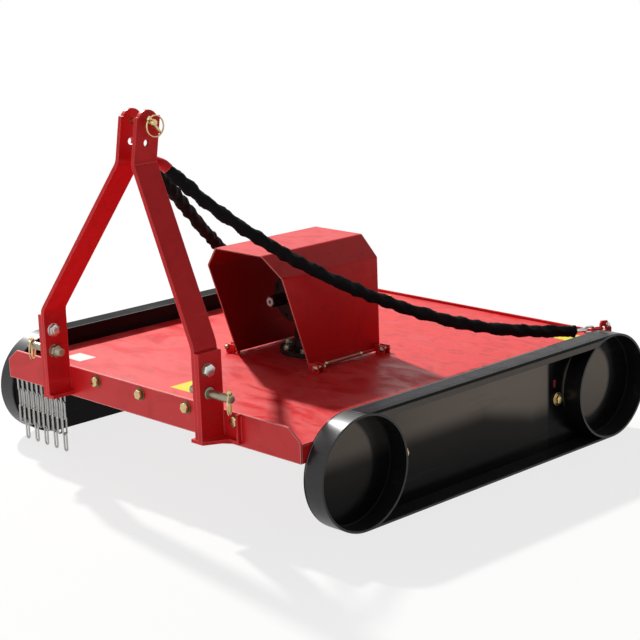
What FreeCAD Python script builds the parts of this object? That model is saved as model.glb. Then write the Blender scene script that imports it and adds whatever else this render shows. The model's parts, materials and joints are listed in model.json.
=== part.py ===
# Rotary slasher for a small tractor's three-point hitch: a steel deck between two
# drum-ended skids, an A-frame mast, a gearbox under a folded guard, and a blade carrier below.
# Millimetres. +X is the machine's left, -Y is the way it travels, +Z is up. The origin is on
# the ground under the middle of the machine.
import FreeCAD, Part
import math
import os
import Sketcher

doc = FreeCAD.newDocument("rotary_slasher")
sheet = doc.addObject("Spreadsheet::Sheet", "Sizes")

SIZES = [
    # deck
    ("deck_width", 1240, "between the skids' inner faces"),
    ("deck_length", 1306, "front plate's face to rear plate's face"),
    ("deck_top", 250, "height of the deck's upper face"),
    ("deck_thick", 5, "deck sheet"),
    ("edge_thick", 6, "front, rear and side plates"),
    ("edge_bottom", 201, "lower edge of the edge plates"),
    ("foot_rise", 8, "hitch bracket's foot plate above the front plate's lower edge"),
    ("front_top", 287, "upper edge of the front plate"),
    ("front_shoulder", 255, "foot of the front plate's corner chamfers"),
    ("corner_cut", 43, "chamfer on the front plate's upper corners"),
    ("rear_top", 258, "upper edge of the rear plate"),
    # skids
    ("drum_dia", 302, "skid end drums"),
    ("drum_pitch", 1000, "between the drums' axes"),
    ("drum_rear_gap", 2, "rear plate's face to the rear drum's back"),
    ("skid_depth", 64, "across each skid"),
    ("skid_plate", 6, "skid sheet"),
    ("lip_drop", 24, "turned-down lip on the upper rail"),
    # hitch brackets and lower pins
    ("shoulder_spread", 683, "across the bracket plates' outer faces"),
    ("bracket_depth", 75, "bracket plate in front of the front plate"),
    ("bracket_thick", 15, "bracket plate"),
    ("bracket_top", 444, "upper edge of the bracket plates"),
    ("foot_thick", 9, "foot plate under the mast leg"),
    ("foot_inside", 44, "foot plate inside of the bracket plate's outer face"),
    ("rib_out", 66, "rib from the bracket plate's outer face"),
    ("rib_depth", 14, "rib in front of the front plate"),
    ("pin_height", 340, "lower hitch pins"),
    ("pin_back", 48, "lower hitch pins in front of the front plate's face"),
    ("pin_dia", 22, "lower hitch pins"),
    ("pin_out", 92, "lower pins beyond the bracket plates"),
    ("bolt_rise", 60, "mast bolt above the lower pin"),
    ("bolt_dia", 20, "mast bolts"),
    ("pin_collar", 36, "collars, nuts and heads of the hitch pins"),
    ("collar_thick", 8, "collars on the hitch pins"),
    ("nut_thick", 16, "nuts on the lower pins"),
    ("thread_end", 20, "lower pin's thread beyond its nut"),
    ("bolt_head_thick", 13, "bolt heads and nuts"),
    ("linch_dia", 8, "linch pins"),
    ("linch_ring", 55, "linch pin rings"),
    ("linch_wire", 4, "linch pin rings"),
    ("linch_head", 16, "linch pin heads"),
    ("linch_hang", 14, "linch pin rings below their hitch pins' middles"),
    ("linch_length", 54, "linch pin shanks"),
    ("linch_inset", 12, "linch pins from the hitch pins' ends"),
    ("seat_gap", 0.3, "clearance of seated pieces that are not clamped"),
    ("fit_gap", 0.05, "radial clearance of pins in their holes"),
    # mast
    ("leg_width", 75, "flat bar of the mast legs"),
    ("leg_thick", 12, "flat bar of the mast legs"),
    ("bend_rise", 457, "height of the legs' lower bend"),
    ("neck_drop", 105, "legs' upper bend below the upper clevis hole"),
    ("bend_inside", 30, "inner radius of the legs' bends"),
    ("mast_lean", 0.165, "backward lean above the lower bend, run to rise"),
    ("clevis_gap", 54, "between the clevis plates"),
    ("clevis_shoulder", 14, "clevis's shoulders above its upper hole"),
    ("clevis_round", 32, "radius of the clevis's rounded top"),
    ("top_pin_rise", 985, "upper clevis hole"),
    ("low_hole_drop", 53, "lower clevis hole below the upper one"),
    ("bridge_height", 34, "cross plate between the clevis plates"),
    ("top_pin_dia", 19, "top-link pin"),
    ("top_pin_out", 28, "top-link pin beyond the clevis"),
    # gearbox and rotor
    ("flange_dia", 220, "gearbox base flange"),
    ("flange_thick", 14, "gearbox base flange"),
    ("spigot_dia", 116, "gearbox base below the deck"),
    ("spigot_drop", 12, "gearbox base below the deck sheet"),
    ("neck_dia", 140, "gearbox neck"),
    ("case_dia", 160, "gearbox barrel"),
    ("case_length", 180, "gearbox barrel"),
    ("boss_dia", 96, "bosses on the barrel's ends"),
    ("boss_length", 24, "front boss"),
    ("hub_dia", 120, "rotor hub"),
    ("hub_thick", 20, "rotor hub"),
    ("shaft_rise", 425, "input shaft"),
    ("shaft_dia", 35, "input shaft"),
    ("journal_dia", 30, "input shaft inside the gearbox"),
    ("shaft_reach", 178.5, "input shaft's end in front of the rotor's axis"),
    ("carrier_end", 45, "blade carrier beyond each blade bolt"),
    ("carrier_width", 90, "blade carrier"),
    ("carrier_thick", 15, "blade carrier"),
    ("carrier_bottom", 130, "lower face of the blade carrier"),
    ("tip_gap", 34, "blade tip to the deck's side plate"),
    ("blade_reach", 250, "blade tip beyond its bolt"),
    ("blade_width", 70, "blades"),
    ("blade_thick", 10, "blades"),
    ("blade_drop", 8, "gap between the carrier and a blade"),
    ("blade_bolt", 30, "blade bolts"),
    ("output_dia", 45, "gearbox output shaft"),
    # guard hood
    ("hood_width", 313, "across the hood's side panels"),
    ("hood_cut", 59, "chamfer along the hood's upper edges"),
    ("hood_top", 588, "hood roof"),
    ("hood_sheet", 4, "hood sheet"),
    ("hood_lift", 4, "hood's lower edges above the deck"),
    ("hood_back", 98.5, "hood's rear edge behind the rotor's axis"),
    ("hood_lip", 290.5, "roof's front edge in front of the rotor's axis"),
    ("hood_foot", 177.5, "side panels' front edge at the deck, before the rotor's axis"),
    ("mount_rod", 10, "rods along the hood's lower edges"),
    ("ear_height", 22, "ears that hold the rods"),
    ("ear_thick", 8, "ears that hold the rods"),
    # front chains
    ("rail_inset", 14, "first chain from the side plate"),
    ("rail_back", 12, "chain rod behind the front plate"),
    ("chain_count", 10, "hanging chains"),
    ("chain_pitch", 23.5, "between hanging chains"),
    ("link_wire", 5.5, "wire of the hanging chains"),
    ("link_inside", 47.5, "inner length of a hanging link"),
    ("link_rows", 4, "links in each longer hanging chain"),
    ("short_rows", 3, "links in each shorter chain between them"),
    ("rail_dia", 6, "rod that the chains hang from"),
    # stays
    ("sleeve_dia", 36, "fabric sleeve over each stay chain"),
    ("stay_wire", 7, "wire of the stay chains"),
    ("stay_inside", 26, "inner length of a stay link"),
    ("guide_dia", 30, "stay guide tube"),
    ("guide_rise", 22, "guide tube's crown above its ends"),
    ("guide_half", 31, "guide tube's ends from the machine's middle"),
    ("guide_behind", 40.705, "guide tube's ends behind the mast's rear edge"),
    ("guide_drop", 24, "guide tube's ends below the mast's neck"),
    ("lug_width", 44, "rear corner lugs"),
    ("hook_in", 24.4, "end of the stay chain inside the deck's side"),
    ("hook_ahead", 88.4, "end of the stay chain ahead of the rear plate's face"),
    ("hook_rise", 44, "end of the stay chain above the deck"),
]
for row, (alias, value, note) in enumerate(SIZES, start=1):
    sheet.set("A%d" % row, alias)
    sheet.set("B%d" % row, str(value))
    sheet.set("C%d" % row, note)
    sheet.setAlias("B%d" % row, alias)
doc.recompute()


class Dim:
    """A size from the sheet, or one worked out from several: its number and its formula."""

    def __init__(self, value, formula):
        self.value = value
        self.formula = formula

    def __add__(self, other):
        other = dim(other)
        return Dim(self.value + other.value, "(%s + %s)" % (self.formula, other.formula))

    def __sub__(self, other):
        other = dim(other)
        return Dim(self.value - other.value, "(%s - %s)" % (self.formula, other.formula))

    def __mul__(self, other):
        other = dim(other)
        return Dim(self.value * other.value, "(%s * %s)" % (self.formula, other.formula))

    def __truediv__(self, other):
        other = dim(other)
        return Dim(self.value / other.value, "(%s / %s)" % (self.formula, other.formula))

    def __neg__(self):
        return self * -1

    def __radd__(self, other):
        return dim(other) + self

    def __rsub__(self, other):
        return dim(other) - self

    def __rmul__(self, other):
        return dim(other) * self


def dim(number):
    return number if isinstance(number, Dim) else Dim(number, repr(number))


def size(alias):
    return Dim(float(sheet.get(alias)), "Sizes.%s" % alias)


# ---- builders -----------------------------------------------------------------------------

finished = {}


def finish(label, obj):
    """Enter an object as the sub-part of that name."""
    obj.Label = label
    finished[label] = obj
    return obj


def bind(obj, prop, number):
    obj.setExpression(prop, dim(number).formula)


def put(obj, x, y, z):
    for axis, number in zip("xyz", (x, y, z)):
        bind(obj, "Placement.Base.%s" % axis, number)


TURNS = {
    "X": FreeCAD.Rotation(FreeCAD.Vector(0, 1, 0), 90),
    "Y": FreeCAD.Rotation(FreeCAD.Vector(1, 0, 0), -90),
    "Z": FreeCAD.Rotation(),
}


def box(name, x, y, z):
    """A box from three (low, high) pairs."""
    obj = doc.addObject("Part::Box", name)
    for prop, (low, high) in zip(("Length", "Width", "Height"), (x, y, z)):
        bind(obj, prop, dim(high) - low)
    put(obj, x[0], y[0], z[0])
    return obj


def rod(name, axis, radius, x, y, z, length):
    """A cylinder that starts at x, y, z and runs along an axis."""
    obj = doc.addObject("Part::Cylinder", name)
    obj.Placement.Rotation = TURNS[axis]
    bind(obj, "Radius", radius)
    bind(obj, "Height", length)
    put(obj, x, y, z)
    return obj


def fuse(name, *parts):
    obj = doc.addObject("Part::MultiFuse", name)
    obj.Shapes = list(parts)
    obj.Refine = True
    return obj


def cut(name, base, *tools):
    obj = doc.addObject("Part::Cut", name)
    obj.Base = base
    obj.Tool = tools[0] if len(tools) == 1 else fuse(name + "_tools", *tools)
    return obj


def origin_plane(body, role):
    return [item for item in body.Origin.OriginFeatures if item.Role == role][0]


def plate(name, role, outline, thick, x=0, y=0, z=0, holes=(), backward=False):
    """A padded plate: its outline's corners and its holes are tied to the sheet."""
    body = doc.addObject("PartDesign::Body", name)
    sketch = body.newObject("Sketcher::SketchObject", name + "_outline")
    sketch.AttachmentSupport = (origin_plane(body, role), [""])
    sketch.MapMode = "FlatFace"
    corners = [(dim(u), dim(v)) for u, v in outline]
    for (u, v), (u2, v2) in zip(corners, corners[1:] + corners[:1]):
        start = FreeCAD.Vector(u.value, v.value, 0)
        end = FreeCAD.Vector(u2.value, v2.value, 0)
        sketch.addGeometry(Part.LineSegment(start, end))
    count = len(corners)
    for index in range(count):
        after = (index + 1) % count
        sketch.addConstraint(Sketcher.Constraint("Coincident", index, 2, after, 1))
    for index, corner in enumerate(corners):
        tie_point(sketch, "corner%d" % index, index, 1, corner)
    for index, (u, v, radius) in enumerate(holes):
        radius = dim(radius)
        centre = (dim(u), dim(v))
        place = FreeCAD.Vector(centre[0].value, centre[1].value, 0)
        circle = Part.Circle(place, FreeCAD.Vector(0, 0, 1), radius.value)
        which = sketch.addGeometry(circle)
        tie_point(sketch, "hole%d" % index, which, 3, centre)
        tag = sketch.addConstraint(Sketcher.Constraint("Radius", which, radius.value))
        sketch.renameConstraint(tag, "hole%d_r" % index)
        bind(sketch, "Constraints.hole%d_r" % index, radius)
    pad = body.newObject("PartDesign::Pad", name + "_pad")
    pad.Profile = sketch
    pad.Reversed = backward
    bind(pad, "Length", thick)
    put(body, x, y, z)
    return body


def tie_point(sketch, tag, geometry, end, corner):
    """Hold a sketch point at a distance from the origin each way."""
    for kind, letter, number in (("DistanceX", "x", corner[0]), ("DistanceY", "y", corner[1])):
        held = Sketcher.Constraint(kind, -1, 1, geometry, end, number.value)
        index = sketch.addConstraint(held)
        sketch.renameConstraint(index, "%s_%s" % (tag, letter))
        bind(sketch, "Constraints.%s_%s" % (tag, letter), number)


def solid(label, shape):
    """A sub-part whose shape is made with Part's own functions."""
    obj = doc.addObject("Part::Feature", label)
    obj.Shape = shape
    return finish(label, obj)


SIDES = (("left", 1), ("right", -1))

# ---- levels and places that several sub-parts share ----------------------------------------

half_deck = size("deck_width") / 2
drum_radius = size("drum_dia") / 2
machine_length = size("bracket_depth") + size("deck_length") + size("drum_rear_gap")
front_face = -machine_length / 2 + size("bracket_depth")
rear_face = front_face + size("deck_length")
rear_drum = rear_face + size("drum_rear_gap") - drum_radius
front_drum = rear_drum - size("drum_pitch")
rotor_y = (front_face + rear_face) / 2
deck_under = size("deck_top") - size("deck_thick")
bracket_face = size("shoulder_spread") / 2
pin_y = front_face - size("pin_back")
leg_outer = bracket_face - size("bracket_thick")
clevis_inner = size("clevis_gap") / 2
clevis_outer = clevis_inner + size("leg_thick")
leg_front = front_face - size("bracket_depth")
leg_middle = leg_front + size("leg_width") / 2
neck_rise = size("top_pin_rise") - size("neck_drop")
low_hole_rise = size("top_pin_rise") - size("low_hole_drop")
leg_inner = leg_outer - size("leg_thick")
foot_bottom = size("edge_bottom") + size("foot_rise")
foot_top = foot_bottom + size("foot_thick")
bolt_height = size("pin_height") + size("bolt_rise")
blade_pivot = half_deck - size("edge_thick") - size("tip_gap") - size("blade_reach")


def mast_y(height):
    """The middle of the mast, fore and aft, at a height above its lower bend."""
    return leg_middle + size("mast_lean") * (height - size("bend_rise"))


clevis_y = mast_y(size("top_pin_rise"))
low_hole_y = mast_y(low_hole_rise)
neck_y = mast_y(neck_rise)
mast_back = neck_y + size("leg_width") / 2


def on_side(side, inner, outer):
    """The (low, high) pair across X of what lies between two distances from the middle."""
    return (inner, outer) if side > 0 else (-dim(outer), -dim(inner))


# ---- deck ---------------------------------------------------------------------------------

def deck():
    edge = size("edge_thick")
    low, high = front_face + edge, rear_face - edge
    corners = [(-half_deck, low), (half_deck, low), (half_deck, high), (-half_deck, high)]
    hole = [(0, rotor_y, size("spigot_dia") / 2 + size("seat_gap"))]
    finish("deck_sheet", plate("deck_sheet", "XY_Plane", corners, size("deck_thick"),
                               z=deck_under, holes=hole))
    for name, side in SIDES:
        across = on_side(side, half_deck - edge, half_deck)
        label = name + "_deck_side"
        finish(label, box(label, across, (low, high), (size("edge_bottom"), deck_under)))
    inner = half_deck - size("corner_cut")
    bottom, shoulder, top = size("edge_bottom"), size("front_shoulder"), size("front_top")
    corners = [(-half_deck, bottom), (half_deck, bottom), (half_deck, shoulder), (inner, top),
               (-inner, top), (-half_deck, shoulder)]
    finish("front_plate", plate("front_plate", "XZ_Plane", corners, edge, y=front_face,
                                backward=True))
    rear = (rear_face - edge, rear_face)
    finish("rear_plate", box("rear_plate", (-half_deck, half_deck), rear,
                             (bottom, size("rear_top"))))


# ---- skids --------------------------------------------------------------------------------

def drum_disc(name, x, centre, radius):
    return rod(name, "X", radius, x[0], centre, drum_radius, dim(x[1]) - x[0])


def skid(name, side):
    sheet_thick = size("skid_plate")
    outer = half_deck + size("skid_depth")
    along = (front_drum, rear_drum)
    inside = on_side(side, half_deck, half_deck + sheet_thick)
    shell = on_side(side, half_deck + sheet_thick, outer)
    finish(name + "_skid_web", fuse(
        name + "_skid_web",
        box(name + "_web_middle", inside, along, (0, size("drum_dia"))),
        drum_disc(name + "_web_front", inside, front_drum, drum_radius),
        drum_disc(name + "_web_rear", inside, rear_drum, drum_radius)))
    for end, centre in (("front", front_drum), ("rear", rear_drum)):
        label = "%s_%s_drum" % (name, end)
        finish(label, cut(label, drum_disc(label + "_outside", shell, centre, drum_radius),
                          drum_disc(label + "_inside", shell, centre,
                                    drum_radius - sheet_thick)))
    lip = on_side(side, outer - sheet_thick, outer)
    top = size("drum_dia")
    finish(name + "_top_rail", cut(
        name + "_top_rail",
        fuse(name + "_top_bar",
             box(name + "_top_flange", shell, along, (top - sheet_thick, top)),
             box(name + "_top_lip", lip, along, (top - size("lip_drop"), top))),
        drum_disc(name + "_top_fit_front", shell, front_drum, drum_radius),
        drum_disc(name + "_top_fit_rear", shell, rear_drum, drum_radius)))
    finish(name + "_runner", cut(
        name + "_runner",
        box(name + "_runner_bar", shell, along, (0, sheet_thick)),
        drum_disc(name + "_runner_fit_front", shell, front_drum, drum_radius),
        drum_disc(name + "_runner_fit_rear", shell, rear_drum, drum_radius)))


# ---- hitch brackets and lower pins ---------------------------------------------------------

def pin_holes():
    gap = size("fit_gap")
    return [(pin_y, size("pin_height"), size("pin_dia") / 2 + gap),
            (pin_y, bolt_height, size("bolt_dia") / 2 + gap)]


def hitch_bracket(name, side):
    front, back = leg_front, front_face
    corners = [(front, foot_top), (back, foot_top), (back, size("bracket_top")),
               (front, size("bracket_top"))]
    across = on_side(side, leg_outer, bracket_face)
    cheek = plate(name + "_bracket_cheek", "YZ_Plane", corners, size("bracket_thick"),
                  x=across[0], holes=pin_holes())
    rib_face = bracket_face + size("rib_out")
    step = front_face - size("rib_depth")
    outline = [(bracket_face - size("foot_inside"), front), (bracket_face, front),
               (bracket_face + size("rib_out") / 2, step), (rib_face, step),
               (rib_face, back), (bracket_face - size("foot_inside"), back)]
    if side < 0:
        outline = [(-x, y) for x, y in reversed(outline)]
    foot = plate(name + "_bracket_foot", "XY_Plane", outline, size("foot_thick"),
                 z=foot_bottom)
    rib = box(name + "_bracket_rib", on_side(side, rib_face - size("edge_thick"), rib_face),
              (step, back), (foot_top, size("front_top")))
    label = name + "_hitch_bracket"
    finish(label, fuse(label, cheek, foot, rib))


def lower_pin(name, side):
    radius = size("pin_dia") / 2
    tip = bracket_face + size("pin_out")
    nut = size("nut_thick")
    label = name + "_lower_hitch_pin"
    bar = on_side(side, leg_inner - nut - size("thread_end"), tip)
    collar = on_side(side, bracket_face, bracket_face + size("collar_thick"))
    nut_place = on_side(side, leg_inner - nut, leg_inner)
    wide = size("pin_collar") / 2
    height = size("pin_height")
    body = fuse(label + "_body",
                rod(label + "_bar", "X", radius, bar[0], pin_y, height, bar[1] - bar[0]),
                rod(label + "_collar", "X", wide, collar[0], pin_y, height,
                    size("collar_thick")),
                rod(label + "_nut", "X", wide, nut_place[0], pin_y, height, nut))
    cross = cross_hole(label, side * (tip - size("linch_inset")), pin_y, height)
    finish(label, cut(label, body, cross))


def mast_bolt(name, side):
    label = name + "_mast_bolt"
    radius = size("bolt_dia") / 2
    head = size("bolt_head_thick")
    bar = on_side(side, leg_inner - head, bracket_face + head)
    pieces = [rod(label + "_shank", "X", radius, bar[0], pin_y, bolt_height, bar[1] - bar[0])]
    for end, place in (("nut", (leg_inner - head, leg_inner)),
                       ("head", (bracket_face, bracket_face + head))):
        across = on_side(side, *place)
        hexagon = doc.addObject("Part::Prism", "%s_%s" % (label, end))
        hexagon.Polygon = 6
        hexagon.Placement.Rotation = TURNS["X"]
        bind(hexagon, "Circumradius", radius * 1.73)
        bind(hexagon, "Height", head)
        put(hexagon, across[0], pin_y, bolt_height)
        pieces.append(hexagon)
    finish(label, fuse(label, *pieces))


def leaning_rod(name, radius, x, y, z, half, lean):
    """A rod with its middle at x, y, z, upright or leaning forward by some degrees."""
    slope = math.radians(lean)
    obj = rod(name, "Z", radius, x, y + half * math.sin(slope), z - half * math.cos(slope),
              half * 2)
    obj.Placement.Rotation = FreeCAD.Rotation(FreeCAD.Vector(1, 0, 0), lean)
    return obj


def cross_hole(label, x, y, z, lean=0):
    """The hole for a linch pin, through a hitch pin's end."""
    return leaning_rod(label + "_cross", size("linch_dia") / 2 + size("fit_gap"), x, y, z,
                       size("pin_dia"), lean)


def linch_pin(label, x, y, z, bar, lean=0):
    """A linch pin in the cross hole of a hitch pin of radius bar, its ring snapped round it."""
    radius = size("linch_dia") / 2
    head = size("linch_head") / 2
    slope = math.radians(lean)
    ring = doc.addObject("Part::Torus", label + "_ring")
    ring.Placement.Rotation = FreeCAD.Rotation(FreeCAD.Vector(1, 0, 0), lean) * TURNS["X"]
    bind(ring, "Radius1", size("linch_ring") / 2)
    bind(ring, "Radius2", size("linch_wire") / 2)
    hang = size("linch_hang")
    put(ring, x, y + hang * math.sin(slope), z - hang * math.cos(slope))
    knob = bar + size("seat_gap") + radius
    sink = size("linch_length") / 2 - knob
    finish(label, fuse(
        label, ring,
        leaning_rod(label + "_shank", radius, x, y + sink * math.sin(slope),
                    z - sink * math.cos(slope), size("linch_length") / 2, lean),
        leaning_rod(label + "_head", head, x, y - knob * math.sin(slope),
                    z + knob * math.cos(slope), radius, lean)))


# ---- mast ---------------------------------------------------------------------------------

def bent_path(points, radius):
    """Lines joined by tangent arcs of one radius, as a list of (point, ...) pieces."""
    pieces = []
    start = points[0]
    for before, corner, after in zip(points, points[1:], points[2:]):
        into = (corner - before).normalize()
        out = (after - corner).normalize()
        half = into.getAngle(out) / 2
        pull = radius * math.tan(half)
        first, last = corner - into * pull, corner + out * pull
        middle = corner + (out - into).normalize() * (radius / math.cos(half) - radius)
        pieces.append(Part.LineSegment(start, first))
        pieces.append(Part.Arc(first, middle, last))
        start = last
    pieces.append(Part.LineSegment(start, points[-1]))
    return Part.Wire([piece.toShape() for piece in pieces])


def bent_bar(points, thick, radius, depth):
    """A flat strip bent along a path in XZ, swept fore and aft by depth both ways."""
    path = bent_path(points, radius)
    start, ahead = points[0], (points[1] - points[0]).normalize()
    side = ahead.cross(FreeCAD.Vector(0, 1, 0)) * (thick / 2)
    fore = FreeCAD.Vector(0, depth, 0)
    rim = [start - side - fore, start + side - fore, start + side + fore, start - side + fore]
    section = Part.makePolygon(rim + rim[:1])
    return path.makePipeShell([section], True, False)


TOP_LINCH_LEAN = 41


def across_prism(corners, reach):
    """An outline in YZ swept across X by reach both ways."""
    rim = [FreeCAD.Vector(-reach, y, z) for y, z in corners]
    return Part.Face(Part.makePolygon(rim + rim[:1])).extrude(FreeCAD.Vector(2 * reach, 0, 0))


def across_rod(y, z, radius, reach):
    return Part.makeCylinder(radius, 2 * reach, FreeCAD.Vector(-reach, y, z),
                             FreeCAD.Vector(1, 0, 0))


def clevis_holes():
    radius = size("top_pin_dia") / 2 + size("fit_gap")
    return [(clevis_y, size("top_pin_rise"), radius), (low_hole_y, low_hole_rise, radius)]


def mast_leg(name, side):
    thick = size("leg_thick").value
    foot_x = side * (leg_outer.value - thick / 2)
    clevis_x = side * (clevis_outer.value - thick / 2)
    shoulder = size("top_pin_rise").value + size("clevis_shoulder").value
    crown = size("top_pin_rise").value + size("clevis_round").value
    bend, neck = size("bend_rise").value, neck_rise.value
    path = [FreeCAD.Vector(foot_x, 0, foot_top.value), FreeCAD.Vector(foot_x, 0, bend),
            FreeCAD.Vector(clevis_x, 0, neck), FreeCAD.Vector(clevis_x, 0, crown)]
    bar = bent_bar(path, thick, size("bend_inside").value + thick / 2,
                   size("deck_length").value)
    half = size("leg_width").value / 2
    # the bar's middle line, seen from the side, from its foot to its shoulders
    middle = [(leg_middle.value, foot_top.value), (leg_middle.value, bend),
              (mast_y(shoulder).value, shoulder)]
    front_edge = [(y - half, z) for y, z in middle]
    back_edge = [(y + half, z) for y, z in reversed(middle)]
    reach = size("deck_width").value
    bump = across_rod(clevis_y.value, size("top_pin_rise").value,
                      size("clevis_round").value, reach)
    leg = bar.common(across_prism(front_edge + back_edge, reach).fuse(bump))
    for y, z, radius in pin_holes() + clevis_holes():
        leg = leg.cut(across_rod(y.value, z.value, radius.value, reach))
    solid(name + "_mast_leg", leg.Solids[0])


def mast_bridge():
    """The cross plate between the clevis plates, which the stays' guide tube is welded to."""
    gap = size("clevis_gap") / 2
    finish("mast_bridge", box("mast_bridge", (-gap, gap),
                              (mast_back - size("leg_thick"), mast_back),
                              (neck_rise - size("bridge_height") / 2,
                               neck_rise + size("bridge_height") / 2)))


def top_pin():
    label = "top_link_pin"
    radius = size("top_pin_dia") / 2
    height = size("top_pin_rise")
    head = size("collar_thick")
    left = -clevis_outer - head
    tip = clevis_outer + size("top_pin_out")
    body = fuse(label + "_body",
                rod(label + "_bar", "X", radius, left, clevis_y, height, tip - left),
                rod(label + "_head", "X", size("pin_collar") / 2, left, clevis_y, height, head))
    where = tip - size("linch_inset")
    finish(label, cut(label, body, cross_hole(label, where, clevis_y, height, TOP_LINCH_LEAN)))
    linch_pin("top_linch_pin", where, clevis_y, height, radius, TOP_LINCH_LEAN)


# ---- gearbox and rotor ---------------------------------------------------------------------

def gearbox():
    spigot = size("spigot_dia") / 2
    top = size("deck_top")
    flange_top = top + size("flange_thick")
    bore = size("output_dia") / 2 + size("fit_gap")
    low = deck_under - size("spigot_drop")
    finish("gearbox_base", cut(
        "gearbox_base",
        fuse("gearbox_base_body",
             rod("gearbox_flange", "Z", size("flange_dia") / 2, 0, rotor_y, top,
                 size("flange_thick")),
             rod("gearbox_spigot", "Z", spigot, 0, rotor_y, low, top - low)),
        rod("gearbox_output_bore", "Z", bore, 0, rotor_y, low, shaft_top - low + 1)))
    centre = size("shaft_rise")
    barrel = size("case_length") / 2
    nose = rotor_y - barrel - size("boss_length")
    tail = rotor_y + barrel + size("boss_length") / 2
    boss = size("boss_dia") / 2
    finish("gearbox_housing", cut(
        "gearbox_housing",
        fuse("gearbox_case",
             rod("gearbox_neck", "Z", size("neck_dia") / 2, 0, rotor_y, flange_top,
                 centre - flange_top),
             rod("gearbox_barrel", "Y", size("case_dia") / 2, 0, rotor_y - barrel, centre,
                 barrel * 2),
             rod("gearbox_bosses", "Y", boss, 0, nose, centre, tail - nose)),
        rod("gearbox_input_bore", "Y", size("journal_dia") / 2 + size("fit_gap"), 0, nose,
            centre, shaft_back + size("seat_gap") - nose)))
    journal = size("journal_dia") / 2
    stub_end = nose - size("seat_gap") * 2
    finish("input_shaft", fuse(
        "input_shaft",
        rod("input_stub", "Y", size("shaft_dia") / 2, 0, shaft_front, centre,
            stub_end - shaft_front),
        rod("input_journal", "Y", journal, 0, stub_end, centre, shaft_back - stub_end)))


shaft_top = size("deck_top") + size("flange_thick") / 2
shaft_front = rotor_y - size("shaft_reach")
shaft_back = rotor_y - size("case_length") / 4
carrier_top = size("carrier_bottom") + size("carrier_thick")
blade_top = size("carrier_bottom") - size("blade_drop")
blade_under = blade_top - size("blade_thick")


def rotor():
    hub = size("hub_dia") / 2
    finish("rotor_shaft", fuse(
        "rotor_shaft",
        rod("rotor_shaft_bar", "Z", size("output_dia") / 2, 0, rotor_y, carrier_top,
            shaft_top - carrier_top),
        rod("rotor_hub", "Z", hub, 0, rotor_y, carrier_top, size("hub_thick"))))
    half, wide = blade_pivot + size("carrier_end"), size("carrier_width") / 2
    snip = wide / 2
    corners = [(-half, snip - wide), (snip - half, -wide), (half - snip, -wide),
               (half, snip - wide), (half, wide - snip), (half - snip, wide),
               (snip - half, wide), (-half, wide - snip)]
    bolt = size("blade_bolt") / 2
    holes = [(side * blade_pivot, 0, bolt) for _, side in SIDES]
    finish("blade_carrier", plate("blade_carrier", "XY_Plane", corners, size("carrier_thick"),
                                  y=rotor_y, z=size("carrier_bottom"), holes=holes))
    for number, (_, side) in enumerate(SIDES, start=1):
        blade_set(number, side)


def blade_set(number, side):
    """A free-swinging blade and the bolt that carries it."""
    pivot = side * blade_pivot
    bolt = size("blade_bolt") / 2
    gap = size("fit_gap")
    label = "blade_bolt_%d" % number
    head = size("bolt_head_thick")
    head_top = blade_under - size("seat_gap")
    collar_low = blade_top + size("seat_gap")
    finish(label, fuse(
        label,
        rod(label + "_shank", "Z", bolt, pivot, rotor_y, head_top, carrier_top - head_top),
        rod(label + "_head", "Z", bolt * 1.6, pivot, rotor_y, head_top - head, head),
        rod(label + "_collar", "Z", bolt * 1.6, pivot, rotor_y, collar_low,
            size("carrier_bottom") - collar_low),
        rod(label + "_nut", "Z", bolt * 1.4, pivot, rotor_y, carrier_top, head)))
    wide = size("blade_width") / 2
    near, far = pivot - side * wide, pivot + side * size("blade_reach")
    corners = [(near, -wide), (far, -wide), (far, wide), (near, wide)]
    if side < 0:
        corners.reverse()
    name = "blade_%d" % number
    finish(name, plate(name, "XY_Plane", corners, size("blade_thick"), y=rotor_y,
                       z=blade_under, holes=[(pivot, 0, bolt + gap)]))


# ---- guard hood ----------------------------------------------------------------------------

def hood():
    thick = size("hood_sheet").value
    wide = size("hood_width").value / 2 - thick / 2
    low = (size("deck_top") + size("hood_lift")).value
    top = size("hood_top").value - thick / 2
    snip = size("hood_cut").value
    half = [(wide, low), (wide, top - snip), (wide - snip, top)]
    path = [FreeCAD.Vector(x, 0, z) for x, z in half]
    path += [FreeCAD.Vector(-x, 0, z) for x, z in reversed(half)]
    skin = bent_bar(path, thick, thick * 2, size("deck_length").value)
    middle = rotor_y.value
    back = middle + size("hood_back").value
    high = size("hood_top").value + thick
    lip, foot = middle - size("hood_lip").value, middle - size("hood_foot").value
    side_view = across_prism([(foot, low), (back, low), (back, high), (lip, high)],
                             size("deck_width").value)
    solid("guard_hood", skin.common(side_view).Solids[0])


def hood_mount(name, side):
    """The rod along the hood's lower edge and the two ears that hold it to the deck."""
    radius = size("mount_rod") / 2
    centre = size("hood_width") / 2 + radius + size("seat_gap")
    height = size("deck_top") + size("ear_height") / 2
    front, back = rotor_y - size("hood_foot") + size("ear_thick"), rotor_y + size("hood_back")
    wide = radius * 2.4
    label = name + "_guard_mount"
    ears = []
    for end, y in (("front", front), ("rear", back - size("ear_thick") * 2)):
        ears.append(box("%s_%s_ear" % (label, end),
                        on_side(side, centre - radius, centre + wide),
                        (y, y + size("ear_thick")),
                        (size("deck_top"), size("deck_top") + size("ear_height"))))
    finish(label, fuse(label, rod(label + "_rod", "Y", radius, side * centre, front, height,
                                  back - front), *ears))


# ---- front chains --------------------------------------------------------------------------

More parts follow.
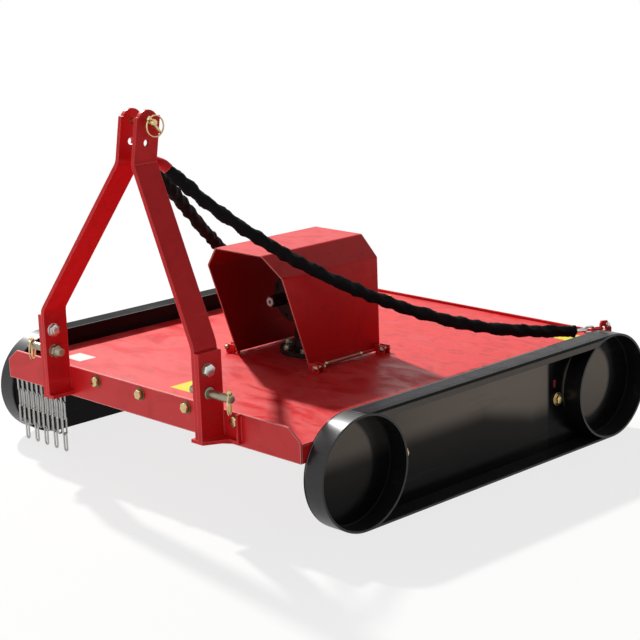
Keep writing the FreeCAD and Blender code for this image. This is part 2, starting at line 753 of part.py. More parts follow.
def link(centre, along, across, wire, inside):
    """One chain link, square in section: along is its length, across its thin way."""
    width = wire * 1.35
    long_half, wide_half = inside / 2 + wire, width / 2 + wire
    snip = wide_half * 0.6
    outer = [(-long_half, snip - wide_half), (snip - long_half, -wide_half),
             (long_half - snip, -wide_half), (long_half, snip - wide_half),
             (long_half, wide_half - snip), (long_half - snip, wide_half),
             (snip - long_half, wide_half), (-long_half, wide_half - snip)]
    inner = [(-inside / 2, -width / 2), (inside / 2, -width / 2), (inside / 2, width / 2),
             (-inside / 2, width / 2)]
    breadth = across.cross(along)
    corner = centre - across * (wire / 2)
    prisms = []
    for outline in (outer, inner):
        rim = [corner + along * u + breadth * v for u, v in outline]
        prisms.append(Part.Face(Part.makePolygon(rim + rim[:1])).extrude(across * wire))
    return prisms[0].cut(prisms[1]).Solids[0]


LINK_PLAY = 0.2


def front_chains():
    wire, inside = size("link_wire").value, size("link_inside").value
    rail = size("rail_dia") / 2
    pitch = size("chain_pitch")
    spare = size("rail_inset")
    ear = size("edge_thick")
    count = int(size("chain_count").value)
    first = -(half_deck - ear - spare)
    y = front_face + ear + size("rail_back")
    z = size("edge_bottom") + rail * 2
    far = first + pitch * (count - 1)
    rail_low, rail_high = first - spare / 2, far + spare / 2
    ears = [box("chain_ear_%d" % number, (x - ear / 2, x + ear / 2),
                (front_face + ear, y + rail * 2), (z - rail * 2, z + rail * 2))
            for number, x in ((1, rail_low), (2, rail_high))]
    finish("front_chain_rail", fuse("front_chain_rail", rod("chain_rod", "X", rail, rail_low, y,
                                                            z, rail_high - rail_low), *ears))
    down = FreeCAD.Vector(0, 0, -1)
    across = (FreeCAD.Vector(1, 0, 0), FreeCAD.Vector(0, 1, 0))
    links = []
    top = z.value + rail.value + LINK_PLAY - inside / 2
    for chain in range(count):
        x = (first + pitch * chain).value
        rows = size("link_rows") if chain % 2 else size("short_rows")
        for row in range(int(rows.value)):
            centre = FreeCAD.Vector(x, y.value, top - row * (inside - LINK_PLAY))
            links.append(link(centre, down, across[row % 2], wire, inside))
    solid("front_chains", Part.makeCompound(links))


# ---- stays ---------------------------------------------------------------------------------

# Each stay hangs in its sleeve from the guide tube behind the mast to a rear corner lug.
LEFT_STAY = [(31, -506, 856), (66, -446, 782), (112, -356, 697), (163, -248, 610),
             (214, -147, 536), (268, -42, 472), (330, 81, 408), (397, 211, 354),
             (460, 335, 320), (523, 458, 301), (557, 525, 294)]
RIGHT_STAY = [(-31, -506, 856), (-66, -438, 800), (-110, -350, 727), (-163, -248, 645),
              (-214, -147, 566), (-268, -42, 494), (-330, 81, 425), (-397, 211, 366),
              (-460, 335, 329), (-523, 458, 303), (-557, 525, 294)]


# an odd number, so that the links at both ends lie level
STAY_LINKS = 3


def cord_path(label, points):
    """Straight runs joined by the largest tangent arcs that they leave room for."""
    pieces = []
    start = points[0]
    radii = []
    for before, corner, after in zip(points, points[1:], points[2:]):
        into, out = corner - before, after - corner
        run = min(into.Length, out.Length)
        into, out = into.normalize(), out.normalize()
        half = into.getAngle(out) / 2
        pull = run * 0.45
        radius = pull / math.tan(half)
        radii.append(radius)
        first, last = corner - into * pull, corner + out * pull
        middle = corner + (out - into).normalize() * (radius / math.cos(half) - radius)
        pieces.append(Part.LineSegment(start, first))
        pieces.append(Part.Arc(first, middle, last))
        start = last
    pieces.append(Part.LineSegment(start, points[-1]))
    print(label, "radii", [round(radius) for radius in radii])
    return Part.Wire([piece.toShape() for piece in pieces])


def tube_along(path, points, radius):
    start = points[0]
    ahead = (points[1] - points[0]).normalize()
    ring = Part.Wire(Part.makeCircle(radius, start, ahead))
    return path.makePipeShell([ring], True, False)


def stay(name, side, route):
    points = [FreeCAD.Vector(*point) for point in route]
    path = cord_path(name, points)
    radius = size("sleeve_dia").value / 2
    sleeve = tube_along(path, points, radius)
    ratio = sleeve.Volume / (math.pi * radius ** 2 * path.Length)
    print(name, "length", round(path.Length), "volume ratio", round(ratio, 4))
    solid(name + "_stay_sleeve", sleeve)
    wire, inside = size("stay_wire").value, size("stay_inside").value
    away = points[-1] - points[-2]
    away.z = 0
    away.normalize()
    hook = FreeCAD.Vector(side * (half_deck - size("hook_in")).value,
                          (rear_face - size("hook_ahead")).value,
                          (size("deck_top") + size("hook_rise")).value)
    level = FreeCAD.Vector(0, 0, 1)
    sideways = away.cross(level)
    links = []
    for number in range(STAY_LINKS):
        back = inside / 2 + number * (inside - LINK_PLAY)
        across = sideways if number % 2 else level
        links.append(link(hook - away * back, away, across, wire, inside))
    solid(name + "_stay_links", Part.makeCompound(links))
    lug(name, hook, away, sideways, wire, inside)


def lug(name, hook, away, sideways, wire, inside):
    """The rear corner lug: an upright plate with an eye that the last link passes through."""
    thick = inside * 0.28
    eye = wire * 0.95
    # the hooked link's square end lies in the round eye, its corners just clear of the wall
    centre = hook + away * (math.sqrt(eye ** 2 - (wire / 2) ** 2) - LINK_PLAY)
    half = size("lug_width").value / 2
    base = size("deck_top").value
    origin = centre - away * (half * 0.45)
    rim = [(0, base), (half * 1.6, base), (half * 1.6, centre.z), (half, centre.z + half),
           (half * 0.2, centre.z + half), (0, centre.z + half * 0.6)]
    corners = [FreeCAD.Vector(origin.x, origin.y, 0) + away * u + FreeCAD.Vector(0, 0, v)
               - sideways * (thick / 2) for u, v in rim]
    body = Part.Face(Part.makePolygon(corners + corners[:1])).extrude(sideways * thick)
    hole = Part.makeCylinder(eye, thick * 3, centre - sideways * (thick * 1.5), sideways)
    solid(name + "_stay_lug", body.cut(hole))


def guide_tube():
    """The bent tube behind the mast that both stays run out of."""
    radius = size("guide_dia").value / 2
    half, back = size("guide_half").value, mast_back.value
    level = neck_rise.value - size("guide_drop").value
    ends, bends = [], []
    for side, route in ((1, LEFT_STAY), (-1, RIGHT_STAY)):
        end = FreeCAD.Vector(side * half, back + size("guide_behind").value, level)
        slope = FreeCAD.Vector(*route[0]) - FreeCAD.Vector(*route[1])
        ends.append(end)
        bends.append(end + slope.normalize() * radius)
    crown = FreeCAD.Vector(0, back + radius, level + size("guide_rise").value)
    points = [ends[0], bends[0], crown, bends[1], ends[1]]
    path = cord_path("guide", points)
    solid("stay_guide_tube", tube_along(path, points, radius))


# ---- the whole machine ---------------------------------------------------------------------

deck()
for side_name, side_sign in SIDES:
    skid(side_name, side_sign)
    hitch_bracket(side_name, side_sign)
    mast_leg(side_name, side_sign)
    lower_pin(side_name, side_sign)
    mast_bolt(side_name, side_sign)
    linch_pin(side_name + "_linch_pin",
              side_sign * (bracket_face + size("pin_out") - size("linch_inset")),
              pin_y, size("pin_height"), size("pin_dia") / 2)
    hood_mount(side_name, side_sign)
mast_bridge()
top_pin()
gearbox()
rotor()
hood()
front_chains()
stay("left", 1, LEFT_STAY)
stay("right", -1, RIGHT_STAY)
guide_tube()

doc.recompute()
faults = [obj.Name for obj in doc.Objects if {"Invalid", "Error"} & set(obj.State)]
faults += [label for label, obj in finished.items()
           if obj.Shape.isNull() or not obj.Shape.isValid()]
if faults:
    raise SystemExit("failed: %s" % ", ".join(faults))

os.makedirs("parts", exist_ok=True)
for label, obj in finished.items():
    obj.Shape.exportStep("parts/%s.step" % label)
print(len(finished), "sub-parts")
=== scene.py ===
import json
import math

import bmesh
import bpy
from mathutils import Matrix, Vector, noise


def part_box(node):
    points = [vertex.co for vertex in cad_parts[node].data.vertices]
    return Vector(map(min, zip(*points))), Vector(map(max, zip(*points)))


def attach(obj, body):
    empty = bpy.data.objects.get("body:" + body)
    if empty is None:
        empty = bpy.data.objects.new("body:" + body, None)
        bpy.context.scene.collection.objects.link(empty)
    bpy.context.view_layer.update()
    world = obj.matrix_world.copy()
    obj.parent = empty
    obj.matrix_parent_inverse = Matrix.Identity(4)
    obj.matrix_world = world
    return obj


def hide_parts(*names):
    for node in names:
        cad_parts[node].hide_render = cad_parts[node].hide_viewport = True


bl_info = {
    "name": "Rotary Slasher Dressing",
    "version": (1, 0, 0),
    "blender": (4, 5, 0),
    "location": "View3D > Sidebar > Slasher",
    "description": "Paint, fixings, chains, stays and blades for a rotary slasher's frame",
    "category": "Object",
}

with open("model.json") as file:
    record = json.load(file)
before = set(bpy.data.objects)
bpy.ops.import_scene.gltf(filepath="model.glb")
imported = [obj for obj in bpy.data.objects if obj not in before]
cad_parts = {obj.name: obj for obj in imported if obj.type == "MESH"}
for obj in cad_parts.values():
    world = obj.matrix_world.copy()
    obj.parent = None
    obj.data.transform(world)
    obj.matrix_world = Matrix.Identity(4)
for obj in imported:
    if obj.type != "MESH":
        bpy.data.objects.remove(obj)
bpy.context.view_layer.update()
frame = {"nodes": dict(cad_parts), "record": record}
X, Y, Z = Vector((1, 0, 0)), Vector((0, 1, 0)), Vector((0, 0, 1))
MM = 0.001
SIDES = (("left", 1), ("right", -1))


# ---- sizes and colours that a user would change --------------------------------------------

def length(label, about, value):
    return bpy.props.FloatProperty(name=label, description=about, default=value, min=0.0,
                                   unit="LENGTH", precision=4)


def colour(label, about, value):
    return bpy.props.FloatVectorProperty(name=label, description=about, default=value,
                                         min=0.0, max=1.0, size=3, subtype="COLOR")


class SLASHER_PG_finish(bpy.types.PropertyGroup):
    red: colour("Red paint", "Deck, mast and guard", (0.70, 0.0115, 0.016))
    black: colour("Black paint", "Skids", (0.0045, 0.0045, 0.0055))
    zinc: colour("Zinc", "Mast bolts and chains", (0.66, 0.66, 0.64))
    yellow_zinc: colour("Yellow zinc", "Plate bolts and linch pins", (0.70, 0.52, 0.26))
    olive_zinc: colour("Olive zinc", "Hitch pins", (0.36, 0.33, 0.24))
    cloth: colour("Cloth", "Sleeves over the stay chains", (0.0045, 0.0045, 0.005))


class SLASHER_PG_fixings(bpy.types.PropertyGroup):
    plate_bolt: length("Plate bolt", "Across the flats", 0.024)
    plate_washer: length("Plate washer", "Outer diameter", 0.036)
    bolt_pitch: length("Bolt pitch", "Between the plate bolts", 0.1925)
    bolt_drop: length("Bolt drop", "Plate bolts below the front plate's top edge", 0.024)
    mast_bolt: length("Mast bolt", "Across the flats", 0.030)
    mast_washer: length("Mast washer", "Outer diameter", 0.037)


class SLASHER_PG_stays(bpy.types.PropertyGroup):
    sleeve: length("Sleeve", "Outer diameter of a stay's sleeve", 0.036)
    gather: length("Gather", "Between the sleeve's gathers", 0.052)


class SLASHER_PG_stage(bpy.types.PropertyGroup):
    azimuth: bpy.props.FloatProperty(name="Azimuth", description="Camera round the machine",
                                     default=math.radians(46.608), subtype="ANGLE")
    elevation: bpy.props.FloatProperty(name="Elevation", description="Camera's height",
                                       default=math.radians(13.846), subtype="ANGLE")
    roll: bpy.props.FloatProperty(name="Roll", description="Camera's tilt",
                                  default=math.radians(-2.076), subtype="ANGLE")
    distance: length("Distance", "Camera to its target", 5.0118)
    lens: bpy.props.FloatProperty(name="Lens", description="Focal length on a 36 mm sensor",
                                  default=96.95, unit="CAMERA")
    daylight: bpy.props.FloatProperty(name="Daylight", description="Light from all round",
                                      default=0.140, min=0.0)


GROUPS = (("finish", SLASHER_PG_finish), ("fixings", SLASHER_PG_fixings),
          ("stays", SLASHER_PG_stays), ("stage", SLASHER_PG_stage))


def settings(group):
    return getattr(bpy.context.scene, "slasher_" + group)


# ---- places taken from the frame -----------------------------------------------------------

def low(node):
    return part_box(node)[0]


def high(node):
    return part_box(node)[1]


def middle(node):
    return (low(node) + high(node)) / 2


def facing(place, axis, turn=0.0):
    """A frame at a place whose Z runs along an axis."""
    swing = Z.rotation_difference(Vector(axis)).to_matrix().to_4x4()
    return Matrix.Translation(place) @ swing @ Matrix.Rotation(turn, 4, "Z")


# ---- building shapes -----------------------------------------------------------------------

def finish_piece(name, bm, material, body="frame", replaces=(), crease=35):
    """Turn a bmesh into a piece that rides on a body."""
    bmesh.ops.remove_doubles(bm, verts=bm.verts, dist=1e-6)
    bmesh.ops.recalc_face_normals(bm, faces=bm.faces)
    mesh = bpy.data.meshes.new(name)
    bm.to_mesh(mesh)
    bm.free()
    mesh.shade_smooth()
    mesh.set_sharp_from_angle(angle=math.radians(crease))
    piece = bpy.data.objects.new(name, mesh)
    bpy.context.scene.collection.objects.link(piece)
    mesh.materials.append(material)
    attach(piece, body)
    if replaces:
        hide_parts(*replaces)
    return piece


def turned(bm, place, profile, steps=32):
    """A lathe shape: (radius, height) pairs spun round the frame's Z."""
    verts = [bm.verts.new(place @ Vector((radius, 0, height))) for radius, height in profile]
    edges = [bm.edges.new(pair) for pair in zip(verts, verts[1:])]
    axis = place.to_3x3() @ Z
    bmesh.ops.spin(bm, geom=verts + edges, cent=place.translation, axis=axis,
                   angle=2 * math.pi, steps=steps, use_merge=True)


def disc(radius, base, top, edge):
    """The profile of a chamfered disc or rod."""
    return [(0, base), (radius - edge, base), (radius, base + edge), (radius, top - edge),
            (radius - edge, top), (0, top)]


def washer(bm, place, hole, radius, thick):
    edge = thick * 0.2
    turned(bm, place, [(hole, 0), (radius, 0), (radius, thick - edge), (radius - edge, thick),
                       (hole, thick), (hole, 0)], 28)


def hexagon(bm, place, flats, height):
    """A bolt head or nut with its corners turned down."""
    made = bmesh.ops.create_circle(bm, cap_ends=True, segments=6,
                                   radius=flats / math.sqrt(3), matrix=place)
    face = made["verts"][0].link_faces[0]
    grown = bmesh.ops.extrude_face_region(bm, geom=[face])["geom"]
    tops = [item for item in grown if isinstance(item, bmesh.types.BMVert)]
    bmesh.ops.translate(bm, verts=tops, vec=(place.to_3x3() @ Z) * height)
    rim = [item for item in grown if isinstance(item, bmesh.types.BMEdge)]
    bmesh.ops.bevel(bm, geom=rim, offset=flats * 0.07, offset_type="OFFSET", segments=2,
                    profile=0.5, affect="EDGES", material=-1)


def thread_profile(radius, base, top, pitch):
    """A screw's profile, as rings of crests and roots."""
    points = []
    count = max(2, int((top - base) / pitch))
    for number in range(count):
        at = base + (top - base) * number / count
        points += [(radius * 0.9, at), (radius, at + (top - base) / count / 2)]
    return points + [(radius * 0.88, top)]


def hex_bolt(bm, place, flats, height, outer, thread=True):
    """A washer, a hexagon and the marks of a bolt's end."""
    washer(bm, place, 0, outer / 2, height * 0.28)
    seat = place @ Matrix.Translation((0, 0, height * 0.28))
    hexagon(bm, seat, flats, height)
    if thread:
        tip = seat @ Matrix.Translation((0, 0, height))
        radius = flats * 0.30
        turned(bm, tip, [(0, -height * 0.2), (radius, -height * 0.2), (radius, height * 0.16),
                         (radius * 0.8, height * 0.3), (0, height * 0.3)], 20)


def swept(bm, frames, radii, sides, closed=False):
    """A round bar through a run of frames, each with its own radius."""
    made = bmesh.ops.create_circle(bm, cap_ends=not closed, segments=sides, radius=1.0,
                                   matrix=frames[0] @ Matrix.Scale(radii[0], 4))
    rings = [made["verts"]]
    edges = list({edge for vert in rings[0] for edge in vert.link_edges})
    for before, after, r1, r2 in zip(frames, frames[1:], radii, radii[1:]):
        grown = bmesh.ops.extrude_edge_only(bm, edges=edges)["geom"]
        verts = [item for item in grown if isinstance(item, bmesh.types.BMVert)]
        edges = [item for item in grown if isinstance(item, bmesh.types.BMEdge)]
        shift = after @ Matrix.Scale(r2 / r1, 4) @ before.inverted()
        bmesh.ops.transform(bm, matrix=shift, verts=verts)
        rings.append(verts)
    if not closed:
        bmesh.ops.contextual_create(bm, geom=edges)
    return rings


def frames_along(points, closed=False):
    """Frames that follow a run of points without twisting."""
    count = len(points)
    ahead = []
    for index in range(count):
        if closed:
            step = points[(index + 1) % count] - points[index - 1]
        else:
            step = points[min(index + 1, count - 1)] - points[max(index - 1, 0)]
        ahead.append(step.normalized())
    side = ahead[0].orthogonal().normalized()
    frames = []
    for index, (point, along) in enumerate(zip(points, ahead)):
        if index:
            side = ahead[index - 1].rotation_difference(along) @ side
        up = along.cross(side)
        turn = Matrix((side, up, along)).transposed().to_4x4()
        frames.append(Matrix.Translation(point) @ turn)
    return frames


def ring(bm, place, radius, wire, steps=36, sides=10):
    """A round wire ring about the frame's Z."""
    centre = place @ Vector((radius, 0, 0))
    across = place.to_3x3() @ Y
    made = bmesh.ops.create_circle(bm, segments=sides, radius=wire / 2,
                                   matrix=facing(centre, across))
    edges = list({edge for vert in made["verts"] for edge in vert.link_edges})
    bmesh.ops.spin(bm, geom=made["verts"] + edges, cent=place.translation,
                   axis=place.to_3x3() @ Z, angle=2 * math.pi, steps=steps, use_merge=True)


def chain_link(bm, place, inside, gap, wire, steps=7, sides=8):
    """An oval link lying in the frame's XY, its length along X."""
    bend = gap / 2 + wire / 2
    straight = inside / 2 - gap / 2
    points = []
    for end, sign in ((straight, 1), (-straight, -1)):
        for step in range(steps + 1):
            turn = math.pi * (step / steps - 0.5)
            points.append(place @ Vector((end + sign * bend * math.cos(turn),
                                          sign * bend * math.sin(turn), 0)))
    frames = frames_along(points, closed=True)
    frames.append(frames[0])
    swept(bm, frames, [wire / 2] * len(frames), sides, closed=True)


def weld(bm, start, end, width, seed=0.0):
    """A rippled bead of weld between two points."""
    run = end - start
    count = max(4, int(run.length / (width * 0.45)))
    points = [start + run * (step / count) for step in range(count + 1)]
    radii = [width * (0.42 + 0.08 * (step % 2) + 0.05 * noise.noise((step * 0.7, seed, 3)))
             for step in range(count + 1)]
    radii[0] = radii[-1] = width * 0.2
    swept(bm, frames_along(points), radii, 8)


def weld_ring(bm, place, radius, width):
    """A rippled bead of weld round a circle about the frame's Z."""
    count = int(2 * math.pi * radius / (width * 0.6)) // 2 * 2
    points = [place @ Vector((radius * math.cos(2 * math.pi * step / count),
                              radius * math.sin(2 * math.pi * step / count), 0))
              for step in range(count)]
    frames = frames_along(points, closed=True)
    frames.append(frames[0])
    radii = [width * (0.42 + 0.07 * (step % 2)) for step in range(count)]
    swept(bm, frames, radii + radii[:1], 8, closed=True)


def block(bm, corner, opposite, edge=0.0):
    """A box between two corners, with its edges broken."""
    size = opposite - corner
    made = bmesh.ops.create_cube(bm, size=1.0)
    bmesh.ops.scale(bm, vec=size, verts=made["verts"])
    bmesh.ops.translate(bm, vec=(corner + opposite) / 2, verts=made["verts"])
    if edge:
        edges = list({edge for vert in made["verts"] for edge in vert.link_edges})
        bmesh.ops.bevel(bm, geom=edges, offset=edge, offset_type="OFFSET", segments=2,
                        profile=0.5, affect="EDGES", material=-1)


# ---- shared effects ------------------------------------------------------------------------

def node_group(name, inputs, outputs):
    group = bpy.data.node_groups.new(name, "ShaderNodeTree")
    for label, kind, value in inputs:
        socket = group.interface.new_socket(name=label, in_out="INPUT", socket_type=kind)
        socket.default_value = value
    for label, kind in outputs:
        group.interface.new_socket(name=label, in_out="OUTPUT", socket_type=kind)
    return group, group.nodes.new("NodeGroupInput"), group.nodes.new("NodeGroupOutput")


FLOAT, COLOUR, VECTOR = "NodeSocketFloat", "NodeSocketColor", "NodeSocketVector"


def add(tree, kind, **values):
    """A node with its options set; names in capitals are its input sockets."""
    node = tree.nodes.new(kind)
    for key, value in values.items():
        if key[0].isupper():
            node.inputs[key.replace("_", " ")].default_value = value
        else:
            setattr(node, key, value)
    return node


def ramp(tree, source, stops):
    node = tree.nodes.new("ShaderNodeValToRGB")
    tree.links.new(source, node.inputs["Fac"])
    elements = node.color_ramp.elements
    while len(elements) < len(stops):
        elements.new(0.5)
    for element, (at, value) in zip(elements, stops):
        element.position = at
        element.color = (value, value, value, 1)
    return node.outputs["Color"]


def maths(tree, operation, first, second):
    node = tree.nodes.new("ShaderNodeMath")
    node.operation = operation
    for socket, value in zip(node.inputs, (first, second)):
        if isinstance(value, (int, float)):
            socket.default_value = value
        else:
            tree.links.new(value, socket)
    return node.outputs[0]


def blended(tree, factor, first, second, mode="MIX"):
    """A colour mix of two sockets or plain colours."""
    node = tree.nodes.new("ShaderNodeMix")
    node.data_type = "RGBA"
    node.blend_type = mode
    for socket, value in zip((node.inputs[0], node.inputs[6], node.inputs[7]),
                             (factor, first, second)):
        if isinstance(value, (int, float)):
            socket.default_value = value
        elif isinstance(value, tuple):
            socket.default_value = value + (1,)
        else:
            tree.links.new(value, socket)
    return node.outputs[2]


def make_effects():
    """The effects that several finishes share, each built once."""
    made = {}
    group, enter, leave = node_group(
        "Sheet waviness", [("Scale", FLOAT, 9.0), ("Peel", FLOAT, 0.3)],
        [("Height", FLOAT), ("Streaks", FLOAT), ("Clouds", FLOAT)])
    place = add(group, "ShaderNodeTexCoord")
    slant = add(group, "ShaderNodeMapping")
    slant.inputs["Scale"].default_value = (0.55, 1.0, 1.0)
    slant.inputs["Rotation"].default_value = (0, 0, 0.35)
    group.links.new(place.outputs["Object"], slant.inputs["Vector"])
    broad = add(group, "ShaderNodeTexNoise", Detail=2.0, Roughness=0.45, Distortion=0.6)
    group.links.new(slant.outputs["Vector"], broad.inputs["Vector"])
    group.links.new(enter.outputs["Scale"], broad.inputs["Scale"])
    peel = add(group, "ShaderNodeTexNoise", Scale=420.0, Detail=1.0)
    group.links.new(place.outputs["Object"], peel.inputs["Vector"])
    fine = maths(group, "MULTIPLY", peel.outputs["Fac"], enter.outputs["Peel"])
    group.links.new(maths(group, "ADD", broad.outputs["Fac"], fine), leave.inputs["Height"])
    streak = add(group, "ShaderNodeTexNoise", Detail=4.0, Roughness=0.6, Distortion=1.2)
    group.links.new(slant.outputs["Vector"], streak.inputs["Vector"])
    group.links.new(maths(group, "MULTIPLY", enter.outputs["Scale"], 2.4),
                    streak.inputs["Scale"])
    group.links.new(ramp(group, streak.outputs["Fac"], [(0.50, 0.0), (0.64, 1.0)]),
                    leave.inputs["Streaks"])
    cloud = add(group, "ShaderNodeTexNoise", Detail=4.0, Roughness=0.6, Distortion=1.2)
    group.links.new(slant.outputs["Vector"], cloud.inputs["Vector"])
    group.links.new(maths(group, "MULTIPLY", enter.outputs["Scale"], 0.9),
                    cloud.inputs["Scale"])
    group.links.new(ramp(group, cloud.outputs["Fac"], [(0.38, 0.0), (0.60, 1.0)]),
                    leave.inputs["Clouds"])
    made["waviness"] = group

    group, enter, leave = node_group(
        "Handling marks", [("Scale", FLOAT, 30.0), ("Amount", FLOAT, 0.2)],
        [("Mask", FLOAT)])
    place = add(group, "ShaderNodeTexCoord")
    marks = []
    for turn, offset in ((0.3, 0.0), (1.4, 7.0)):
        swing = add(group, "ShaderNodeMapping")
        swing.inputs["Rotation"].default_value = (turn, turn * 0.6, turn)
        swing.inputs["Scale"].default_value = (1.0, 0.12, 1.0)
        swing.inputs["Location"].default_value = (offset, offset, 0)
        group.links.new(place.outputs["Object"], swing.inputs["Vector"])
        line = add(group, "ShaderNodeTexNoise", Detail=3.0, Roughness=0.6, Distortion=0.5)
        group.links.new(swing.outputs["Vector"], line.inputs["Vector"])
        group.links.new(enter.outputs["Scale"], line.inputs["Scale"])
        marks.append(ramp(group, line.outputs["Fac"], [(0.655, 0.0), (0.70, 1.0)]))
    both = maths(group, "MAXIMUM", marks[0], marks[1])
    group.links.new(maths(group, "MULTIPLY", both, enter.outputs["Amount"]),
                    leave.inputs["Mask"])
    made["marks"] = group

    group, enter, leave = node_group(
        "Dust film", [("Scale", FLOAT, 6.0), ("Amount", FLOAT, 0.1)], [("Mask", FLOAT)])
    place = add(group, "ShaderNodeTexCoord")
    cloud = add(group, "ShaderNodeTexNoise", Detail=6.0, Roughness=0.65)
    group.links.new(place.outputs["Object"], cloud.inputs["Vector"])
    group.links.new(enter.outputs["Scale"], cloud.inputs["Scale"])
    lie = add(group, "ShaderNodeNewGeometry")
    split = add(group, "ShaderNodeSeparateXYZ")
    group.links.new(lie.outputs["Normal"], split.inputs[0])
    level = maths(group, "MAXIMUM", split.outputs["Z"], 0.25)
    film = maths(group, "MULTIPLY", ramp(group, cloud.outputs["Fac"], [(0.4, 0.0), (0.75, 1.0)]),
                 level)
    group.links.new(maths(group, "MULTIPLY", film, enter.outputs["Amount"]),
                    leave.inputs["Mask"])
    made["dust"] = group

    # A mask of thin lines along edges, used for painted edge highlights.
    group, enter, leave = node_group(
        "Painted edge highlights", [("Radius", FLOAT, 0.002), ("Amount", FLOAT, 0.5)], [("Mask", FLOAT)])
    soft = add(group, "ShaderNodeBevel", samples=4)
    group.links.new(enter.outputs["Radius"], soft.inputs["Radius"])
    true = add(group, "ShaderNodeNewGeometry")
    match = add(group, "ShaderNodeVectorMath", operation="DOT_PRODUCT")
    group.links.new(soft.outputs["Normal"], match.inputs[0])
    group.links.new(true.outputs["Normal"], match.inputs[1])
    turned_away = ramp(group, maths(group, "SUBTRACT", 1.0, match.outputs["Value"]),
                       [(0.02, 0.0), (0.12, 1.0)])
    group.links.new(maths(group, "MULTIPLY", turned_away, enter.outputs["Amount"]),
                    leave.inputs["Mask"])
    made["edges"] = group

    group, enter, leave = node_group(
        "Metal grain", [("Scale", FLOAT, 300.0), ("Spread", FLOAT, 0.3)],
        [("Height", FLOAT), ("Tone", FLOAT)])
    place = add(group, "ShaderNodeTexCoord")
    grain = add(group, "ShaderNodeTexNoise", Detail=4.0, Roughness=0.6)
    group.links.new(place.outputs["Object"], grain.inputs["Vector"])
    group.links.new(enter.outputs["Scale"], grain.inputs["Scale"])
    group.links.new(grain.outputs["Fac"], leave.inputs["Height"])
    patch = add(group, "ShaderNodeTexNoise", Scale=55.0, Detail=3.0)
    group.links.new(place.outputs["Object"], patch.inputs["Vector"])
    centred = maths(group, "SUBTRACT", patch.outputs["Fac"], 0.5)
    group.links.new(maths(group, "MULTIPLY", centred, enter.outputs["Spread"]),
                    leave.inputs["Tone"])
    made["grain"] = group
    return made


EFFECTS = {}
FINISHES = {}


def place_effect(tree, name, **values):
    node = tree.nodes.new("ShaderNodeGroup")
    node.node_tree = EFFECTS[name]
    for key, value in values.items():
        node.inputs[key].default_value = value
    return node


def start_finish(name):
    material = bpy.data.materials.new(name)
    material.use_nodes = True
    tree = material.node_tree
    shader = tree.nodes["Principled BSDF"]
    return material, tree, shader


def round_edges(tree, radius, source=None):
    """Edges that read as broken and painted over, under a bump."""
    edge = add(tree, "ShaderNodeBevel", samples=4)
    edge.inputs["Radius"].default_value = radius
    return edge.outputs["Normal"]


def bumped(tree, shader, height, strength, distance, edges=None):
    bump = add(tree, "ShaderNodeBump")
    bump.inputs["Strength"].default_value = strength
    bump.inputs["Distance"].default_value = distance
    tree.links.new(height, bump.inputs["Height"])
    if edges is not None:
        tree.links.new(edges, bump.inputs["Normal"])
    tree.links.new(bump.outputs["Normal"], shader.inputs["Normal"])


